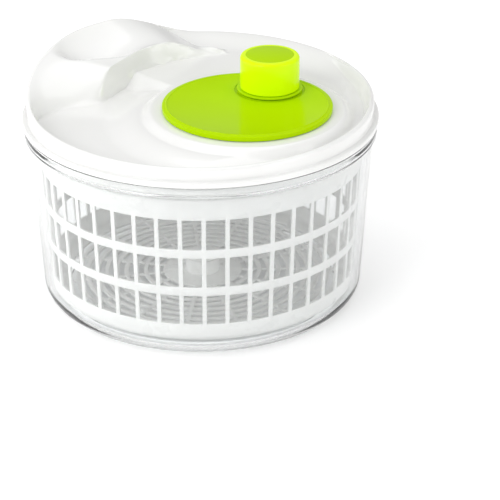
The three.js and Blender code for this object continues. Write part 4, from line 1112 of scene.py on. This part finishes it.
def make_ring_gear():
    pitch = RING_TEETH * MODULE / 2
    tip, root = pitch - MODULE / 2, pitch + MODULE
    outer = (GEAR_HIGH.x - GEAR_LOW.x) / 2
    flange = GEAR_HIGH.z - 2
    space = math.pi * MODULE / 2 + BACKLASH
    tooth = tooth_slice("ring_tooth", RING_TEETH, (tip, root), space, GEAR_LOW.z, flange, outer)
    teeth = repeated_mesh("ring_teeth", tooth, ACETAL, RING_TEETH, 0.0, MESH_AZIMUTH, CRANK)
    top = GEAR_HIGH.z
    web = turned_mesh("gear_flange", [
        (FLANGE_BORE, flange), (outer - 0.4, flange), (outer, flange + 0.4),
        (outer, top - 0.4), (outer - 0.4, top), (FLANGE_BORE, top)], 144, CRANK)
    web = cut(web, drill("notch", BOSS + 0.3, flange - 3, top + 3, centre=KNOB), "gear_flange")
    hole = drill("screw_hole", SCREW_RADIUS + PIN_GAP, flange - 3, top + 3, 24)
    holes = repeated_mesh("screw_holes", hole, ACETAL, 4, CRANK_REACH, GEAR_TURN + math.pi / 4, CRANK)
    web = cut(web, holes, "gear_flange")
    gear = finish_mesh("ring_gear_moulding", joined_mesh("ring_gear", [teeth, web]), ACETAL)
    fit(gear, "crank", "acetal", "ring_gear")


def make_pinion():
    pitch = PINION_TEETH * MODULE / 2
    thick = math.pi * MODULE / 2 - BACKLASH
    tooth = tooth_slice("pinion_tooth", PINION_TEETH, (pitch - MODULE, pitch + 0.7 * MODULE), thick,
                        PINION_LOW.z, PINION_HIGH.z, SHAFT_RADIUS + PIN_GAP)
    teeth = repeated_mesh("pinion", tooth, ACETAL, PINION_TEETH, 0.0, MESH_AZIMUTH)
    fit(finish_mesh("drive_pinion_moulded", teeth, ACETAL), "driver", "acetal", "drive_pinion")


def make_gear_screws():
    head = GEAR_HIGH.z - 2 - 0.3 - SCREW_HEAD_HEIGHT
    screw = screw_mesh("gear_screw", head, 4.1, SCREW_RADIUS, SCREW_HEAD)
    screws = repeated_mesh("gear_screws", screw, STEEL, 4, CRANK_REACH, GEAR_TURN + math.pi / 4, CRANK)
    fit(finish_mesh("gear_screws", screws, STEEL), "crank", "steel",
        *[f"gear_screw_{i + 1}" for i in range(4)])
    low = HOUSING_Z - 0.3 - SCREW_HEAD_HEIGHT
    length = DISC_Z - 0.3 - low - SCREW_HEAD_HEIGHT
    big = screw_mesh("crank_screw", low, length, CRANK_SCREW, BUSH_RADIUS - 0.3)
    for vertex in big.vertices:
        vertex.co += CRANK * MM
    fit(finish_mesh("crank_screw_turned", big, STEEL), "crank", "steel", "crank_screw")


# ---------------------------------------------------------------- shaft and rotor
ROTOR_THICK = 2.4
ROTOR_LOW_Z = ROTOR_LOW.z
ROTOR_TOP = ROTOR_LOW_Z + ROTOR_THICK
ROTOR_RING = 104.0
ROTOR_RING_WIDTH = 9.0
ROTOR_HUB = 9.0
ROTOR_ARMS = 6
ARM_WIDTH = 11.0
LUG_WIDTH = 8.0
LUG_REACH = 109.2
SHAFT_TOP = 141.4
CLIP_LOW = 140.3
CLIP_HIGH = 141.1
CLIP_RADIUS = 5.7


def make_shaft():
    low = ROTOR_LOW_Z
    top = SHAFT_TOP
    bore = SCREW_RADIUS + PIN_GAP
    shaft = [(bore, low), (SHAFT_RADIUS - 0.3, low), (SHAFT_RADIUS, low + 0.3), (SHAFT_RADIUS, top - 0.4)]
    shaft += [(SHAFT_RADIUS - 0.4, top), (0, top), (0, low + 7), (bore, low + 7)]
    fit(turned_piece("drive_shaft_turned", shaft, 40, STEEL), "driver", "steel", "drive_shaft")
    clip = [(PIN_POCKET, CLIP_LOW), (CLIP_RADIUS - 0.2, CLIP_LOW), (CLIP_RADIUS, CLIP_LOW + 0.2),
            (CLIP_RADIUS, CLIP_HIGH - 0.2), (CLIP_RADIUS - 0.2, CLIP_HIGH), (PIN_POCKET, CLIP_HIGH)]
    fit(turned_piece("shaft_clip_pressed", clip, 40, STEEL), "driver", "steel", "shaft_clip")


def make_rotor():
    """The spider under the lid: a ring, a hub, six arms with a stiffening rib, and six lugs."""
    inner = ROTOR_RING - ROTOR_RING_WIDTH
    low, top = ROTOR_LOW_Z, ROTOR_TOP
    hub_top = ROTOR_HIGH.z
    bore = PIN_POCKET
    ring = turned_mesh("rotor_ring", [
        (inner, low + 0.4), (inner + 0.4, low), (ROTOR_RING - 0.4, low), (ROTOR_RING, low + 0.4),
        (ROTOR_RING, top - 0.4), (ROTOR_RING - 0.4, top), (inner + 0.4, top), (inner, top - 0.4)], 144)
    hub = turned_mesh("rotor_hub", [
        (bore, low + 0.3), (bore + 0.3, low), (ROTOR_HUB - 0.5, low), (ROTOR_HUB, low + 0.5),
        (ROTOR_HUB, hub_top - 0.5), (ROTOR_HUB - 0.5, hub_top), (bore + 0.3, hub_top),
        (bore, hub_top - 0.3)], 64)
    half = ARM_WIDTH / 2
    arm = softened_mesh("arm", box_mesh("arm", (ROTOR_HUB - 1.2, -half, low + 0.02),
                                        (inner + 1.0, half, top - 0.02)), 0.35)
    rib = softened_mesh("arm_rib", box_mesh("arm_rib", (ROTOR_HUB - 1.0, -0.9, top - 0.6),
                                            (inner - 6, 0.9, top + 3.2)), 0.3)
    arms = repeated_mesh("rotor_arms", joined_mesh("arm", [arm, rib]), HOUSING_WHITE, ROTOR_ARMS, 0.0,
                         math.pi / ROTOR_ARMS)
    lug = softened_mesh("lug", box_mesh("lug", (ROTOR_RING - 3, -LUG_WIDTH / 2, low + 0.02),
                                        (LUG_REACH, LUG_WIDTH / 2, top - 0.02)), 0.4)
    lugs = repeated_mesh("rotor_lugs", lug, HOUSING_WHITE, ROTOR_ARMS)
    rotor = finish_mesh("drive_rotor_moulding", joined_mesh("rotor", [ring, hub, arms, lugs]),
                        HOUSING_WHITE)
    fit(rotor, "driver", "housing_white", "drive_rotor")
    washer_low = low - 0.3 - WASHER_HEIGHT
    washer_piece("rotor_washer_turned", ROTOR_HUB - 1, SCREW_RADIUS + 0.35, washer_low, "driver",
                 "rotor_washer")
    head = washer_low - 0.3 - SCREW_HEAD_HEIGHT
    screw = screw_mesh("rotor_screw", head, 7.5, SCREW_RADIUS, SCREW_HEAD + 1)
    fit(finish_mesh("rotor_screw_turned", screw, STEEL), "driver", "steel", "rotor_screw")


make_bowl()
make_basket()
make_bearing()
make_lid()
make_housing()
make_housing_screws()
make_bushes()
make_disc()
make_collar()
make_knob()
make_knob_fixings()
make_ring_gear()
make_pinion()
make_gear_screws()
make_shaft()
make_rotor()


# ---------------------------------------------------------------- floor and light
SKY_LOW = 0.44
SKY_HIGH = 0.58
FLOOR_REACH = 6.0
FLOOR_GLOW = 0.2                # the paper is lit through from below


def make_floor():
    material = bpy.data.materials.new("white_paper_sweep")
    material.use_nodes = True
    tree = material.node_tree
    tree.nodes.clear()
    place = add_node(tree, "ShaderNodeTexCoord").outputs["Object"]
    fibre = add_node(tree, "ShaderNodeTexNoise", links={"Vector": place}, Scale=1 / (8 * MM), Detail=3.0)
    bump = add_node(tree, "ShaderNodeBump", links={"Height": fibre.outputs["Fac"]}, Strength=0.05,
                    Distance=0.05 * MM)
    skin = add_node(tree, "ShaderNodeBsdfPrincipled", links={"Normal": bump.outputs["Normal"]},
                    Base_Color=srgb("#FDFDFD"), Roughness=0.5,
                    Emission_Color=srgb("#FFFFFF"), Emission_Strength=FLOOR_GLOW)
    add_node(tree, "ShaderNodeOutputMaterial", links={"Surface": skin.outputs["BSDF"]})
    bm = bmesh.new()
    bmesh.ops.create_grid(bm, x_segments=1, y_segments=1, size=FLOOR_REACH)
    mesh = bpy.data.meshes.new("floor")
    bm.to_mesh(mesh)
    bm.free()
    mesh.materials.append(material)
    floor = bpy.data.objects.new("floor", mesh)
    bpy.context.scene.collection.objects.link(floor)


def area_light(name, place, aim, size, power, colour="#FFFFFF"):
    data = bpy.data.lights.new(name, "AREA")
    data.shape = "RECTANGLE"
    data.size, data.size_y = size
    data.energy = power
    data.color = srgb(colour)[:3]
    lamp = bpy.data.objects.new(name, data)
    lamp.location = place
    lamp.rotation_euler = (Vector(aim) - Vector(place)).to_track_quat("-Z", "Y").to_euler()
    bpy.context.scene.collection.objects.link(lamp)


def make_lights():
    middle = (0.0, 0.0, 0.1)
    area_light("key", (-0.9, -1.0, 0.85), middle, (0.9, 0.8), 9.5)
    area_light("top", (0.1, 0.3, 1.5), middle, (1.5, 1.2), 6.0)
    area_light("fill", (1.2, -0.7, 0.5), middle, (0.9, 0.7), 5.0)
    area_light("side", (-1.25, 0.1, 0.45), middle, (0.9, 0.7), 4.5)
    world = bpy.data.worlds.new("studio")
    world.use_nodes = True
    tree = world.node_tree
    tree.nodes.clear()
    place = add_node(tree, "ShaderNodeTexCoord").outputs["Generated"]
    parts = add_node(tree, "ShaderNodeSeparateXYZ", links={"Vector": place})
    height = add_node(tree, "ShaderNodeMapRange", links={"Value": parts.outputs["Z"]}, To_Min=SKY_LOW,
                      To_Max=SKY_HIGH)
    height.inputs["From Min"].default_value = 0.0
    height.inputs["From Max"].default_value = 0.5
    sky = add_node(tree, "ShaderNodeBackground", links={"Strength": height.outputs["Result"]},
                   Color=srgb("#FFFFFF"))
    add_node(tree, "ShaderNodeOutputWorld", links={"Surface": sky.outputs["Background"]})
    bpy.context.scene.world = world
    bpy.context.scene.view_settings.view_transform = "Standard"


make_floor()
make_lights()
